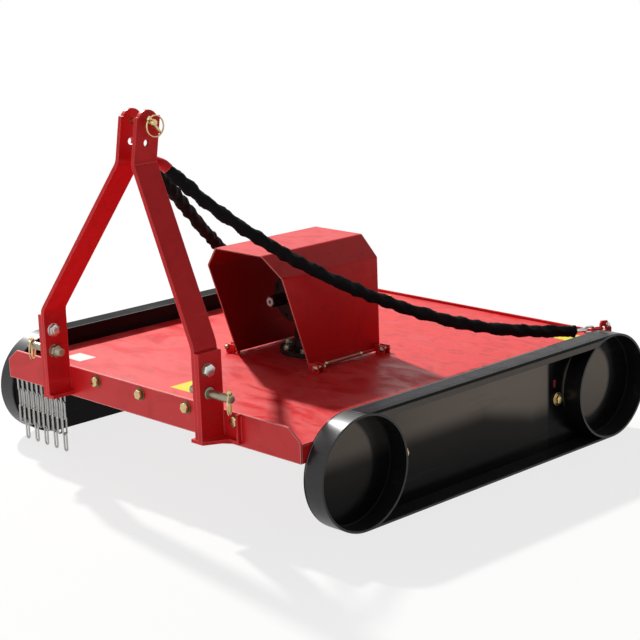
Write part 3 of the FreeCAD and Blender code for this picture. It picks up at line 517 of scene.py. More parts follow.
def paint(name, base, scuff_and_highlight_tone, rough, wave, marks, dust, streaks, specular, reflection_amount=0.0, edge=0.0028,
          painted_edges=0.28, guard=False, clouds=0.0, lip=0.0, coat=0.0):
    """Sprayed gloss paint over sheet steel."""
    material, tree, shader = start_finish(name)
    shader.inputs["Specular IOR Level"].default_value = specular
    shader.inputs["Coat Weight"].default_value = coat
    shader.inputs["Coat Roughness"].default_value = 0.26
    sheet = place_effect(tree, "waviness", Scale=wave, Peel=0.008)
    scuff = place_effect(tree, "marks", Scale=26.0, Amount=marks)
    film = place_effect(tree, "dust", Scale=7.0, Amount=dust)
    edges = place_effect(tree, "edges", Radius=edge, Amount=painted_edges)
    deep = tuple(value * 0.62 for value in base)
    toned = blended(tree, maths(tree, "MULTIPLY", sheet.outputs["Streaks"], streaks), base,
                    deep)
    # A greyish brown painted reflection of lit ground, on the left skid's web and drum discs.
    if reflection_amount:
        toned = blended(tree, painted_reflection_mask(tree, reflection_amount), toned, (0.36, 0.30, 0.255))
    # On the near rail, the lip's outward face gets a grey painted reflection, and the rounded fold
    # at its top a black painted reflection.
    if lip:
        lie = add(tree, "ShaderNodeNewGeometry")
        split = add(tree, "ShaderNodeSeparateXYZ")
        tree.links.new(lie.outputs["Normal"], split.inputs[0])
        outward = within(tree, split.outputs["X"], 0.7, 0.9)
        toned = blended(tree, maths(tree, "MULTIPLY", outward, lip), toned,
                        (0.20, 0.176, 0.150))
        x, y, z = object_parts(tree)
        fold = maths(tree, "MULTIPLY", within(tree, maths(tree, "ABSOLUTE", x, 0.0), 0.663, 0.669),
                     within(tree, z, 0.2930, 0.2950))
        toned = blended(tree, fold, toned, tuple(value * 0.2 for value in base))
    # The guard's inner faces are darkened to a third as painted shade.
    if guard:
        toned = blended(tree, painted_inner_shade(tree), toned, tuple(value * 0.34 for value in base))
    # Pale cloud patches on the deck: uneven paint tone, and partly a painted sheen.
    if clouds:
        toned = blended(tree, maths(tree, "MULTIPLY", sheet.outputs["Clouds"], clouds), toned,
                        scuff_and_highlight_tone)
    scuffed_and_edge_lit = blended(tree, scuff.outputs["Mask"], toned, scuff_and_highlight_tone)
    # Lines along the edges take the same tone: painted highlights, and on the near rail, whose tone
    # is darker than its paint, a painted dark edge.
    scuffed_and_edge_lit = blended(tree, edges.outputs["Mask"], scuffed_and_edge_lit, scuff_and_highlight_tone)
    dusty = blended(tree, film.outputs["Mask"], scuffed_and_edge_lit, (0.42, 0.38, 0.33))
    tree.links.new(dusty, shader.inputs["Base Color"])
    roughness = maths(tree, "ADD", rough, maths(tree, "MULTIPLY", film.outputs["Mask"], 1.2))
    roughness = maths(tree, "ADD", roughness,
                      maths(tree, "MULTIPLY", sheet.outputs["Streaks"], 0.07))
    if clouds:
        roughness = maths(tree, "ADD", roughness,
                          maths(tree, "MULTIPLY", sheet.outputs["Clouds"], 0.25))
    tree.links.new(roughness, shader.inputs["Roughness"])
    bumped(tree, shader, sheet.outputs["Height"], 0.35, 0.004, round_edges(tree, 0.0012))
    FINISHES[name] = material


def within(tree, value, low_end, high_end, smooth=False):
    """How far a value has gone from one end to the other, kept between 0 and 1."""
    node = add(tree, "ShaderNodeMapRange", From_Min=low_end, From_Max=high_end)
    if smooth:
        node.interpolation_type = "SMOOTHSTEP"
    tree.links.new(value, node.inputs["Value"])
    return node.outputs["Result"]


def object_parts(tree):
    place = add(tree, "ShaderNodeTexCoord")
    split = add(tree, "ShaderNodeSeparateXYZ")
    tree.links.new(place.outputs["Object"], split.inputs[0])
    return split.outputs


def painted_reflection_mask(tree, amount):
    """A painted reflection of lit ground on the left skid's outer face, ahead of the rear bolt and
    in both drums.
    """
    x, y, z = object_parts(tree)
    # It ends along a slanting line, the painted edge of the machine's reflected shadow; below that
    # line the web stays dark.
    dip = maths(tree, "MULTIPLY", within(tree, y, 0.05, 0.25), 0.053)
    level = maths(tree, "ADD", z, dip)
    fading = maths(tree, "ADD", maths(tree, "MULTIPLY", within(tree, y, -0.5, 0.1), 0.30), 0.60)
    thick = maths(tree, "MULTIPLY", within(tree, level, 0.145, 0.205, True), fading)
    thin = maths(tree, "MULTIPLY", within(tree, level, 0.03, 0.15), 0.1)
    ahead = maths(tree, "MULTIPLY", maths(tree, "ADD", thick, thin),
                  within(tree, y, 0.325, 0.313))
    # Inside the front drum the disc is kept darker where its inner wall would be reflected: painted
    # shade.
    wall_reflection_shade = maths(tree, "MULTIPLY", round_spot(tree, y, z, -0.4595, 0.151, 0.1475, 0.1465),
                   maths(tree, "SUBTRACT", 1.0,
                         round_spot(tree, y, z, -0.524, 0.151, 0.150, 0.140)))
    ahead = maths(tree, "MULTIPLY", ahead,
                  maths(tree, "SUBTRACT", 1.0, maths(tree, "MULTIPLY", wall_reflection_shade, 0.85)))
    # The rear drum's disc gets an even painted reflection.
    behind = maths(tree, "MULTIPLY", round_spot(tree, y, z, 0.490, 0.165, 0.112, 0.099), 0.77)
    film = maths(tree, "MULTIPLY", maths(tree, "MAXIMUM", ahead, behind),
                 within(tree, x, 0.6225, 0.6235))
    return maths(tree, "MULTIPLY", film, amount)


def round_spot(tree, y, z, middle_y, middle_z, outer, inner):
    """A soft-edged round spot on the skid's side."""
    along = maths(tree, "SUBTRACT", y, middle_y)
    above = maths(tree, "SUBTRACT", z, middle_z)
    reach = maths(tree, "POWER", maths(tree, "ADD", maths(tree, "MULTIPLY", along, along),
                                       maths(tree, "MULTIPLY", above, above)), 0.5)
    return within(tree, reach, outer, inner)


def painted_inner_shade(tree):
    """The guard's inner faces, which stand 4 mm inside its outer ones, to be darkened as painted
    shade.
    """
    x, y, z = object_parts(tree)
    side = maths(tree, "ABSOLUTE", x, 0.0)
    flank = within(tree, side, 0.1548, 0.1542)
    roof = within(tree, z, 0.5863, 0.5857)
    cut = within(tree, maths(tree, "ADD", side, z), 0.6830, 0.6822)
    return maths(tree, "MULTIPLY", maths(tree, "MULTIPLY", flank, roof), cut)


def metal(name, base, rough, spread, metallic=1.0, grain=320.0, tint=None, specular=0.5):
    """Plated, machined or cast metal."""
    material, tree, shader = start_finish(name)
    shader.inputs["Metallic"].default_value = metallic
    shader.inputs["Specular IOR Level"].default_value = specular
    texture = place_effect(tree, "grain", Scale=grain, Spread=spread)
    film = place_effect(tree, "dust", Scale=40.0, Amount=0.18)
    light = tuple(min(1.0, value * 1.25) for value in base)
    dark = tint or tuple(value * 0.55 for value in base)
    toned = blended(tree, maths(tree, "ADD", texture.outputs["Tone"], 0.5), dark, light)
    tree.links.new(blended(tree, film.outputs["Mask"], toned, (0.30, 0.27, 0.22)),
                   shader.inputs["Base Color"])
    tree.links.new(maths(tree, "ADD", maths(tree, "MULTIPLY", texture.outputs["Tone"], 0.5),
                         rough), shader.inputs["Roughness"])
    bumped(tree, shader, texture.outputs["Height"], 0.25, 0.0006, round_edges(tree, 0.0006))
    FINISHES[name] = material


def cloth(name, base):
    """Woven cloth, read along the sleeve's own surface."""
    material, tree, shader = start_finish(name)
    shader.inputs["Specular IOR Level"].default_value = 0.05
    along = add(tree, "ShaderNodeUVMap", uv_map="Wrap")
    threads = []
    for turn in (0.785, -0.785):
        swing = add(tree, "ShaderNodeMapping")
        swing.inputs["Rotation"].default_value = (0, 0, turn)
        tree.links.new(along.outputs["UV"], swing.inputs["Vector"])
        wave = add(tree, "ShaderNodeTexWave", Scale=130.0, Distortion=1.5, Detail=1.0)
        tree.links.new(swing.outputs["Vector"], wave.inputs["Vector"])
        threads.append(wave.outputs["Fac"])
    weave = maths(tree, "MAXIMUM", threads[0], threads[1])
    fade = place_effect(tree, "dust", Scale=24.0, Amount=0.15)
    pale = tuple(value * 2.5 for value in base)
    tone = blended(tree, maths(tree, "MULTIPLY", weave, 0.5), base, pale)
    tree.links.new(blended(tree, fade.outputs["Mask"], tone, (0.055, 0.053, 0.050)),
                   shader.inputs["Base Color"])
    tree.links.new(maths(tree, "ADD", maths(tree, "MULTIPLY", weave, -0.15), 0.78),
                   shader.inputs["Roughness"])
    bumped(tree, shader, weave, 0.5, 0.0008)
    FINISHES[name] = material


# ---- finishes ------------------------------------------------------------------------------

class SLASHER_OT_finishes(bpy.types.Operator):
    """Build the finishes and put one on each sub-part of the frame"""
    bl_idname = "slasher.finishes"
    bl_label = "Paint and metal"

    def execute(self, context):
        chosen = settings("finish")
        EFFECTS.update(make_effects())
        red, black = tuple(chosen.red), tuple(chosen.black)
        # The pale pink serves for scuffs, painted edge highlights and the deck's cloud patches.
        pale = (1.0, 0.52, 0.47)
        paint("Red deck paint", red, pale, 0.34, 11.0, 0.05, 0.02, 0.58, 0.23, clouds=0.07)
        paint("Red frame paint", red, pale, 0.34, 6.0, 0.03, 0.01, 0.30, 0.18)
        # The front plate and the guard get strong painted edge highlights.
        paint("Red plate paint", red, pale, 0.36, 6.0, 0.03, 0.01, 0.30, 0.34, edge=0.0045,
              painted_edges=1.0)
        paint("Red guard paint", red, pale, 0.34, 6.0, 0.03, 0.01, 0.30, 0.18, edge=0.0034,
              painted_edges=0.95, guard=True)
        paint("Black skid paint", black, (0.10, 0.095, 0.09), 0.20, 4.0, 0.10, 0.01, 0.3, 0.10)
        # The left web's paint carries a painted reflection of lit ground.
        paint("Skid paint with painted reflection", black, (0.10, 0.095, 0.09), 0.20, 4.0, 0.10, 0.01, 0.3, 0.06,
              reflection_amount=0.9)
        paint("Black drum paint", black, (0.06, 0.06, 0.065), 0.50, 4.0, 0.12, 0.01, 0.3, 0.14,
              coat=0.55)
        # The near rail's black is lightened fourfold as a painted reflection on its top face.
        paint("Black rail paint", tuple(value * 4 for value in black), (0.001, 0.001, 0.002),
              0.26, 9.0, 0.10, 0.01, 0.9, 0.06, edge=0.001, lip=0.75)
        # The far rail's black is lightened by 1.6 as a painted reflection, and its grey handling
        # marks are painted highlights.
        paint("Plain rail paint", tuple(value * 1.6 for value in black), (0.05, 0.05, 0.052),
              0.24, 9.0, 0.35, 0.01, 0.9, 0.008, edge=0.004, painted_edges=0.8)
        metal("Bright zinc", tuple(chosen.zinc), 0.27, 0.5)
        metal("Chain zinc", tuple(value * 0.72 for value in chosen.zinc), 0.24, 0.9)
        metal("Yellow zinc", tuple(chosen.yellow_zinc), 0.24, 0.9, tint=(0.34, 0.27, 0.13))
        # Washers darker than the bolts on them, as painted shade under the heads.
        metal("Shade-darkened washers", (0.20, 0.145, 0.075), 0.42, 0.9, 0.85)
        metal("Olive zinc", tuple(chosen.olive_zinc), 0.36, 0.7)
        # The casting's black paint is taken nearly black, partly as painted shade inside the guard.
        metal("Painted casting", (0.010, 0.004, 0.004), 0.5, 0.5, 0.0, 160.0, specular=0.15)
        metal("Machined steel", (0.34, 0.33, 0.32), 0.34, 0.4)
        metal("Black oxide", (0.012, 0.011, 0.011), 0.4, 0.5, 0.3)
        metal("Blade steel", (0.05, 0.05, 0.052), 0.46, 0.6, 0.6, 120.0)
        metal("Ground edge", (0.50, 0.50, 0.50), 0.28, 0.3)
        cloth("Sleeve cloth", tuple(chosen.cloth))
        by_slot = {"red_paint": "Red frame paint", "black_paint": "Black skid paint",
                   "bright_zinc": "Bright zinc", "yellow_zinc": "Yellow zinc",
                   "pin_steel": "Olive zinc", "cast_housing": "Painted casting",
                   "shaft_steel": "Machined steel", "blade_steel": "Blade steel",
                   "sleeve_fabric": "Sleeve cloth"}
        for part in frame["record"]["subparts"]:
            node = frame["nodes"][part["node"]]
            label = by_slot[part["material_slot"]]
            if part["node"] == "deck_sheet":
                label = "Red deck paint"
            elif part["node"] == "front_plate":
                label = "Red plate paint"
            elif part["node"] == "guard_hood":
                label = "Red guard paint"
            elif part["node"] == "left_skid_web":
                label = "Skid paint with painted reflection"
            elif part["node"].endswith(("_drum", "_runner")):
                label = "Black drum paint"
            elif part["node"] == "right_top_rail":
                label = "Plain rail paint"
            elif part["node"].endswith("_top_rail"):
                label = "Black rail paint"
            node.data.materials.clear()
            node.data.materials.append(FINISHES[label])
        return {"FINISHED"}


# ---- bolts on the edge plates ---------------------------------------------------------------

class SLASHER_OT_plate_bolts(bpy.types.Operator):
    """Hexagon bolts with washers along the front and rear plates"""
    bl_idname = "slasher.plate_bolts"
    bl_label = "Plate bolts"

    def execute(self, context):
        sizes = settings("fixings")
        height = high("front_plate").z - sizes.bolt_drop
        rear = high("rear_plate").z - 20 * MM
        for name, node, face, axis, level in (
                ("front_plate_bolts", "front_plate", low("front_plate").y, -Y, height),
                ("rear_plate_bolts", "rear_plate", high("rear_plate").y, Y, rear)):
            bm, washers = bmesh.new(), bmesh.new()
            for number in range(-2, 3):
                place = facing(Vector((number * sizes.bolt_pitch, face, level)), axis,
                               0.35 + number * 0.4)
                washer(washers, place, 0, sizes.plate_washer / 2, 2.4 * MM)
                turned(washers, place @ Matrix.Translation((0, 0, 2.4 * MM)),
                       disc(sizes.plate_bolt * 0.47, 0, 1.6 * MM, 0.3 * MM), 28)
                hexagon(bm, place @ Matrix.Translation((0, 0, 4 * MM)), sizes.plate_bolt,
                        8.5 * MM)
            finish_piece(name, bm, FINISHES["Yellow zinc"])
            finish_piece(name + "_washers", washers, FINISHES["Shade-darkened washers"])
        return {"FINISHED"}


# ---- hitch pins, mast bolts and linch pins ---------------------------------------------------

def linch(bm, bar_node, node, lean, bar_radius, swing=0.0):
    """A linch pin: a tapered shank, a domed head and a sprung ring hinged in it."""
    box_low, box_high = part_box(node)
    x = (box_low.x + box_high.x) / 2
    bar = middle(bar_node)
    down = Vector((0, math.sin(lean), -math.cos(lean)))
    centre = Vector((x, bar.y, bar.z))
    up_end = centre - down * (bar_radius + 8.3 * MM)
    place = facing(up_end, down)
    turned(bm, place, [(0, -2 * MM), (5 * MM, -1.2 * MM), (7 * MM, 1 * MM), (7 * MM, 5.5 * MM),
                       (6 * MM, 8 * MM), (4.6 * MM, 8.2 * MM), (4.6 * MM, 48 * MM),
                       (4.2 * MM, 53 * MM), (2 * MM, 57 * MM), (0, 57.5 * MM)], 24)
    turn = Matrix.Rotation(lean, 4, "X") @ Matrix.Rotation(swing, 4, "Z") @ facing((0, 0, 0), X)
    hang = centre + down * 14 * MM
    ring(bm, Matrix.Translation(hang) @ turn, 27.5 * MM, 4.4 * MM, 44, 12)
    for end in (-1, 1):
        ear = facing(up_end + down * 4 * MM + X * end * 7 * MM, X)
        turned(bm, ear, disc(3.2 * MM, -2.4 * MM, 2.4 * MM, 0.6 * MM), 16)


class SLASHER_OT_hitch_fixings(bpy.types.Operator):
    """Lower hitch pins, mast bolts, the top-link pin and the linch pins"""
    bl_idname = "slasher.hitch_fixings"
    bl_label = "Hitch pins and mast bolts"

    def execute(self, context):
        sizes = settings("fixings")
        for name, side in SIDES:
            node = name + "_lower_hitch_pin"
            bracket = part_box(name + "_hitch_bracket")
            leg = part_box(name + "_mast_leg")
            centre = middle(node)
            face = side * 0.3415
            inner = side * 0.3145
            tip = high(node).x if side > 0 else low(node).x
            root = low(node).x if side > 0 else high(node).x
            origin = Vector((0, centre.y, centre.z))
            out = X * side
            place = facing(origin, out)
            reach, start = abs(tip), abs(root)
            outer, seat = abs(face), abs(inner)
            bm = bmesh.new()
            profile = [(0, start)] + thread_profile(10.6 * MM, start + 0.5 * MM,
                                                    seat - 17 * MM, 2.2 * MM)
            profile += [(11 * MM, seat - 15 * MM), (11 * MM, outer),
                        (15 * MM, outer + 0.2 * MM), (15.6 * MM, outer + 1 * MM),
                        (15.6 * MM, outer + 5.5 * MM), (14.4 * MM, outer + 7 * MM),
                        (11 * MM, outer + 7.2 * MM), (11 * MM, reach - 4 * MM),
                        (8.5 * MM, reach - 0.6 * MM), (0, reach)]
            turned(bm, place, profile, 40)
            hexagon(bm, facing(origin + out * seat, -out, 0.2), 31 * MM, 15.5 * MM)
            washer(bm, facing(origin + out * (seat - 0.3 * MM), out), 0, 18 * MM, 0.3 * MM)
            finish_piece(node + "_turned", bm, FINISHES["Olive zinc"],
                         replaces=[node])
            node = name + "_mast_bolt"
            centre = middle(node)
            origin = Vector((0, centre.y, centre.z))
            bm = bmesh.new()
            head = facing(origin + out * outer, out, 0.25)
            seats = bmesh.new()
            washer(seats, head, 0, sizes.mast_washer / 2, 2.6 * MM)
            finish_piece(node + "_washer", seats, FINISHES["Shade-darkened washers"])
            hexagon(bm, head @ Matrix.Translation((0, 0, 2.6 * MM)), sizes.mast_bolt, 11 * MM)
            nut = facing(origin + out * seat, -out, 0.5)
            washer(bm, nut, 0, sizes.mast_washer / 2, 2.6 * MM)
            hexagon(bm, nut @ Matrix.Translation((0, 0, 2.6 * MM)), sizes.mast_bolt, 11 * MM)
            turned(bm, facing(origin, out), disc(9.6 * MM, seat - 17 * MM, outer + 4 * MM,
                                                 1 * MM), 24)
            finish_piece(node + "_hexagon", bm, FINISHES["Bright zinc"],
                         replaces=[node])
            bm = bmesh.new()
            linch(bm, name + "_lower_hitch_pin", name + "_linch_pin", 0.0, 11 * MM, 0.66)
            finish_piece(name + "_linch_pin_sprung", bm, FINISHES["Yellow zinc"],
                         replaces=[name + "_linch_pin"])
        box_low, box_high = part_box("top_link_pin")
        centre = (box_low + box_high) / 2
        place = facing(Vector((0, centre.y, centre.z)), X)
        bm = bmesh.new()
        turned(bm, place, [(0, box_low.x), (16 * MM, box_low.x), (18 * MM, box_low.x + 1.5 * MM),
                           (18 * MM, box_low.x + 7 * MM), (9.5 * MM, box_low.x + 8 * MM),
                           (9.5 * MM, box_high.x - 3.5 * MM), (7.5 * MM, box_high.x),
                           (0, box_high.x)], 36)
        finish_piece("top_link_pin_turned", bm, FINISHES["Yellow zinc"],
                     replaces=["top_link_pin"])
        bm = bmesh.new()
        linch(bm, "top_link_pin", "top_linch_pin", math.radians(41), 9.5 * MM)
        finish_piece("top_linch_pin_sprung", bm, FINISHES["Yellow zinc"],
                     replaces=["top_linch_pin"])
        return {"FINISHED"}


# ---- welds ---------------------------------------------------------------------------------

class SLASHER_OT_welds(bpy.types.Operator):
    """Weld beads round the hitch brackets and the drums, and a lip and welds at the stay guide tube
    """
    bl_idname = "slasher.welds"
    bl_label = "Welds"

    def execute(self, context):
        face = low("front_plate").y
        for name, side in SIDES:
            bracket_low, bracket_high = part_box(name + "_hitch_bracket")
            outer = side * 0.3415
            inner = side * 0.3265
            foot = bracket_low.z + 9 * MM
            top = high("front_plate").z
            bm = bmesh.new()
            for x, seed in ((outer, 1.0), (inner, 2.0)):
                weld(bm, Vector((x, face - 1 * MM, foot)), Vector((x, face - 1 * MM, top)),
                     6 * MM, seed + side)
            front = bracket_low.y + 4 * MM
            weld(bm, Vector((outer, front, foot)), Vector((outer, face - 3 * MM, foot)), 6 * MM,
                 3.0 + side)
            rib = side * 0.4075
            weld(bm, Vector((rib, face - 1 * MM, foot)), Vector((rib, face - 1 * MM, top - 4 * MM)),
                 5 * MM, 4.0 + side)
            for back in (0.0, 0.040):
                start = Vector((outer, face - back, foot - 9 * MM))
                weld(bm, start, start + X * side * 60 * MM + Y * back, 4 * MM, 5.0 + side)
            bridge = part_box("mast_bridge")
            neck = Vector((side * (bridge[1].x + 12.3 * MM), bridge[1].y - 37.5 * MM,
                           (bridge[0].z + bridge[1].z) / 2 + 1.5 * MM))
            weld(bm, neck - Y * 36.5 * MM, neck + Y * 36.5 * MM, 6.5 * MM, 6.0 + side)
            finish_piece(name + "_bracket_welds", bm, FINISHES["Red frame paint"])
            bm = bmesh.new()
            mouth = ROUTES[name][0]
            ring(bm, facing(mouth, ROUTES[name][1] - mouth), 14.2 * MM, 4 * MM, 40, 10)
            crown = Vector((0, bridge[1].y + 1.8 * MM,
                            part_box("stay_guide_tube")[1].z - 16 * MM))
            for lift in (7, -7):
                start = crown + Vector((0, 0, lift)) * MM
                weld(bm, start, start + Vector((side * 16, 2.4, -5)) * MM, 11 * MM, 7.0 + side)
            finish_piece(name + "_guide_lip", bm, FINISHES["Red frame paint"])
            bm = bmesh.new()
            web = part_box(name + "_skid_web")
            x = web[1].x if side > 0 else web[0].x
            for end in ("front", "rear"):
                drum = middle("%s_%s_drum" % (name, end))
                radius = (high("%s_%s_drum" % (name, end)).z - drum.z) - 6 * MM
                weld_ring(bm, facing(Vector((x, drum.y, drum.z)), X), radius, 5 * MM)
            finish_piece(name + "_drum_welds", bm, FINISHES["Black skid paint"])
        return {"FINISHED"}


# ---- gearbox -------------------------------------------------------------------------------

class SLASHER_OT_gearbox(bpy.types.Operator):
    """The gearbox casting with its covers, and the splined input shaft"""
    bl_idname = "slasher.gearbox"
    bl_label = "Gearbox"

    def execute(self, context):
        case_low, case_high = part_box("gearbox_housing")
        centre = Vector((0, middle("gearbox_base").y, middle("input_shaft").z))
        radius = case_high.z - centre.z
        base_top = high("gearbox_base").z
        bm = bmesh.new()
        nose, tail = centre.y - case_low.y, case_high.y - centre.y
        barrel = facing(centre, Y)
        turned(bm, barrel, [
            (0, -nose), (22 * MM, -nose), (24 * MM, -nose + 2 * MM), (24 * MM, -nose + 6 * MM),
            (46 * MM, -nose + 7 * MM), (48 * MM, -nose + 9 * MM), (48 * MM, -98 * MM),
            (72 * MM, -96 * MM), (74 * MM, -94 * MM), (74 * MM, -82 * MM), (72 * MM, -80 * MM),
            (66 * MM, -79 * MM), (68 * MM, -70 * MM), (78 * MM, -40 * MM), (radius, -20 * MM),
            (radius, 20 * MM), (78 * MM, 40 * MM), (68 * MM, 70 * MM), (66 * MM, 79 * MM),
            (72 * MM, 80 * MM), (74 * MM, 82 * MM), (74 * MM, 94 * MM), (72 * MM, 96 * MM),
            (46 * MM, 97 * MM), (44 * MM, tail), (0, tail)], 48)
        upright = facing(Vector((0, centre.y, 0)), Z)
        turned(bm, upright, [
            (0, base_top), (69 * MM, base_top), (70 * MM, base_top + 2 * MM),
            (70 * MM, base_top + 16 * MM), (66 * MM, base_top + 22 * MM),
            (62 * MM, base_top + 50 * MM), (68 * MM, centre.z - 40 * MM), (60 * MM, centre.z),
            (0, centre.z)], 48)
        for turn in range(8):
            angle = math.radians(22.5 + 45 * turn)
            for end, out in ((-94 * MM, -Y), (94 * MM, Y)):
                spot = centre + Y * end + Vector((math.cos(angle), 0, math.sin(angle))) * 61 * MM
                hex_bolt(bm, facing(spot, out, turn), 10 * MM, 6 * MM, 14 * MM, thread=False)
        for turn in range(4):
            angle = math.radians(45 + 90 * turn)
            out = Vector((math.cos(angle), math.sin(angle), 0))
            side = Vector((-out.y, out.x, 0)) * 4 * MM
            foot = Vector((0, centre.y, base_top))
            rib = [foot + out * 58 * MM, foot + out * 70 * MM, foot + out * 62 * MM + Z * 70 * MM,
                   foot + out * 50 * MM + Z * 70 * MM]
            face = bm.faces.new([bm.verts.new(point - side) for point in rib])
            grown = bmesh.ops.extrude_face_region(bm, geom=[face])["geom"]
            bmesh.ops.translate(bm, vec=side * 2, verts=[
                item for item in grown if isinstance(item, bmesh.types.BMVert)])
        plug = facing(Vector((0, centre.y - 20 * MM, centre.z + radius - 2 * MM)), Z)
        hexagon(bm, plug, 20 * MM, 2 * MM)
        finish_piece("gearbox_casting", bm, FINISHES["Painted casting"],
                     replaces=["gearbox_housing"])
        flange_low, flange_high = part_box("gearbox_base")
        bm = bmesh.new()
        for turn in range(8):
            angle = math.radians(22.5 + 45 * turn)
            spot = Vector((0, centre.y, flange_high.z)) + Vector(
                (math.cos(angle), math.sin(angle), 0)) * 95 * MM
            hex_bolt(bm, facing(spot, Z, turn * 1.1), 17 * MM, 8 * MM, 24 * MM)
            under = Vector((spot.x, spot.y, low("deck_sheet").z))
            hex_bolt(bm, facing(under, -Z, turn * 0.7), 17 * MM, 9 * MM, 24 * MM)
        finish_piece("gearbox_base_bolts", bm, FINISHES["Olive zinc"])
        shaft_low, shaft_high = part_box("input_shaft")
        axis = facing(Vector((0, shaft_low.y, centre.z)), Y)
        reach = shaft_high.y - shaft_low.y
        bm = bmesh.new()
        made = bmesh.ops.create_circle(bm, cap_ends=True, segments=72, radius=17.4 * MM,
                                       matrix=axis)
        face = made["verts"][0].link_faces[0]
        for index, vert in enumerate(made["verts"]):
            if index % 12 in (0, 1, 2, 3, 4):
                bmesh.ops.scale(bm, vec=(0.83, 1, 0.83), verts=[vert],
                                space=Matrix.Translation(-axis.translation))
        grown = bmesh.ops.extrude_face_region(bm, geom=[face])["geom"]
        ends = [item for item in grown if isinstance(item, bmesh.types.BMVert)]
        bmesh.ops.translate(bm, vec=Y * 58 * MM, verts=ends)
        rim = [edge for edge in face.edges]
        bmesh.ops.bevel(bm, geom=rim, offset=1.2 * MM, offset_type="OFFSET", segments=1,
                        profile=0.5, affect="EDGES", material=-1)
        turned(bm, axis @ Matrix.Translation((0, 0, 57 * MM)),
               [(0, 0), (17.4 * MM, 0.4 * MM), (17.4 * MM, 6.4 * MM), (15 * MM, 6.6 * MM),
                (15 * MM, reach - 57 * MM), (0, reach - 57 * MM)], 40)
        finish_piece("input_shaft_splined", bm, FINISHES["Black oxide"], body="input",
                     replaces=["input_shaft"], crease=20)
        bm = bmesh.new()
        turned(bm, axis, [(5 * MM, 0.6 * MM), (5.6 * MM, -0.4 * MM), (12.4 * MM, -0.4 * MM),
                          (13 * MM, 0.6 * MM), (5 * MM, 0.6 * MM)], 32)
        finish_piece("input_shaft_end_face", bm, FINISHES["Machined steel"], body="input")
        return {"FINISHED"}


# ---- guard mounts --------------------------------------------------------------------------

class SLASHER_OT_guard_fixings(bpy.types.Operator):
    """Bolts, collars and springs on the rods that hold the guard"""
    bl_idname = "slasher.guard_fixings"
    bl_label = "Guard fixings"

    def execute(self, context):
        for name, side in SIDES:
            mount_low, mount_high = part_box(name + "_guard_mount")
            x = mount_low.x + 5 * MM if side > 0 else mount_high.x - 5 * MM
            level = (mount_low.z + mount_high.z) / 2
            middle_y = middle("rotor_shaft").y
            bm = bmesh.new()
            for y in (-128 * MM, 10 * MM):
                turned(bm, facing(Vector((x, middle_y + y, level)), Y),
                       disc(6.4 * MM, 0, 9 * MM, 1 * MM), 20)
            for step in range(17):
                y = middle_y - 116 * MM + step * 7.5 * MM
                ring(bm, facing(Vector((x, y, level)), Vector((0.12, 1, 0.1))), 5.4 * MM,
                     1.8 * MM, 18, 6)
            ears = bmesh.new()
            tall = high(name + "_guard_mount").z + 3 * MM
            floor = high("deck_sheet").z
            for y, back in ((mount_low.y - 15 * MM, 20 * MM), (mount_high.y - 22 * MM, 20 * MM)):
                for cheek in (0.0, back):
                    start = Vector((x - side * 2 * MM, y + cheek, floor))
                    block(ears, start, start + X * side * 36 * MM + Y * 5 * MM
                          + Z * (tall - floor), 1.2 * MM)
                outer = Vector((x + side * 24 * MM, y, floor + 15 * MM))
                turned(bm, facing(outer, Y), disc(5 * MM, -9 * MM, back + 12 * MM, 1 * MM), 20)
                hexagon(bm, facing(outer, -Y, 0.4), 14 * MM, 7 * MM)
                hexagon(bm, facing(outer + Y * (back + 5 * MM), Y, 0.7), 14 * MM, 7 * MM)
            finish_piece(name + "_guard_springs", bm, FINISHES["Olive zinc"])
            finish_piece(name + "_guard_ears", ears, FINISHES["Red frame paint"])
            bm = bmesh.new()
            for y in (mount_low.y + 3 * MM, mount_high.y - 13 * MM):
                for step in (6 * MM, 22 * MM):
                    weld(bm, Vector((x - side * 5 * MM, y, high("deck_sheet").z)),
                         Vector((x + side * 12 * MM, y, high("deck_sheet").z)), 4 * MM,
                         step * 90)
            finish_piece(name + "_guard_welds", bm, FINISHES["Red frame paint"])
        return {"FINISHED"}


# ---- skids ---------------------------------------------------------------------------------

class SLASHER_OT_skid_fixings(bpy.types.Operator):
    """Bolts with washers through the skid webs, and the adjustment slots beside them"""
    bl_idname = "slasher.skid_fixings"
    bl_label = "Skid fixings"

    def execute(self, context):
        for name, side in SIDES:
            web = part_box(name + "_skid_web")
            face = web[1].x if side > 0 else web[0].x
            bm = bmesh.new()
            slots = bmesh.new()
            for y in (-0.268, 0.361):
                place = facing(Vector((face, y, 0.143)), X * side, 0.3 + y)
                hex_bolt(bm, place, 24 * MM, 9 * MM, 38 * MM)
                slot = facing(Vector((face, y - 13 * MM, 0.190)), X * side)
                for rise in (-6 * MM, 6 * MM):
                    turned(slots, Matrix.Translation((0, 0, rise)) @ slot,
                           disc(5 * MM, 0, 0.5 * MM, 0.1 * MM), 24)
                block(slots, Vector((face, y - 18 * MM, 0.184)),
                      Vector((face + side * 0.5 * MM, y - 8 * MM, 0.196)))
            finish_piece(name + "_skid_bolts", bm, FINISHES["Yellow zinc"])
            finish_piece(name + "_skid_slots", slots, FINISHES["Red frame paint"])
        return {"FINISHED"}


# ---- chains --------------------------------------------------------------------------------

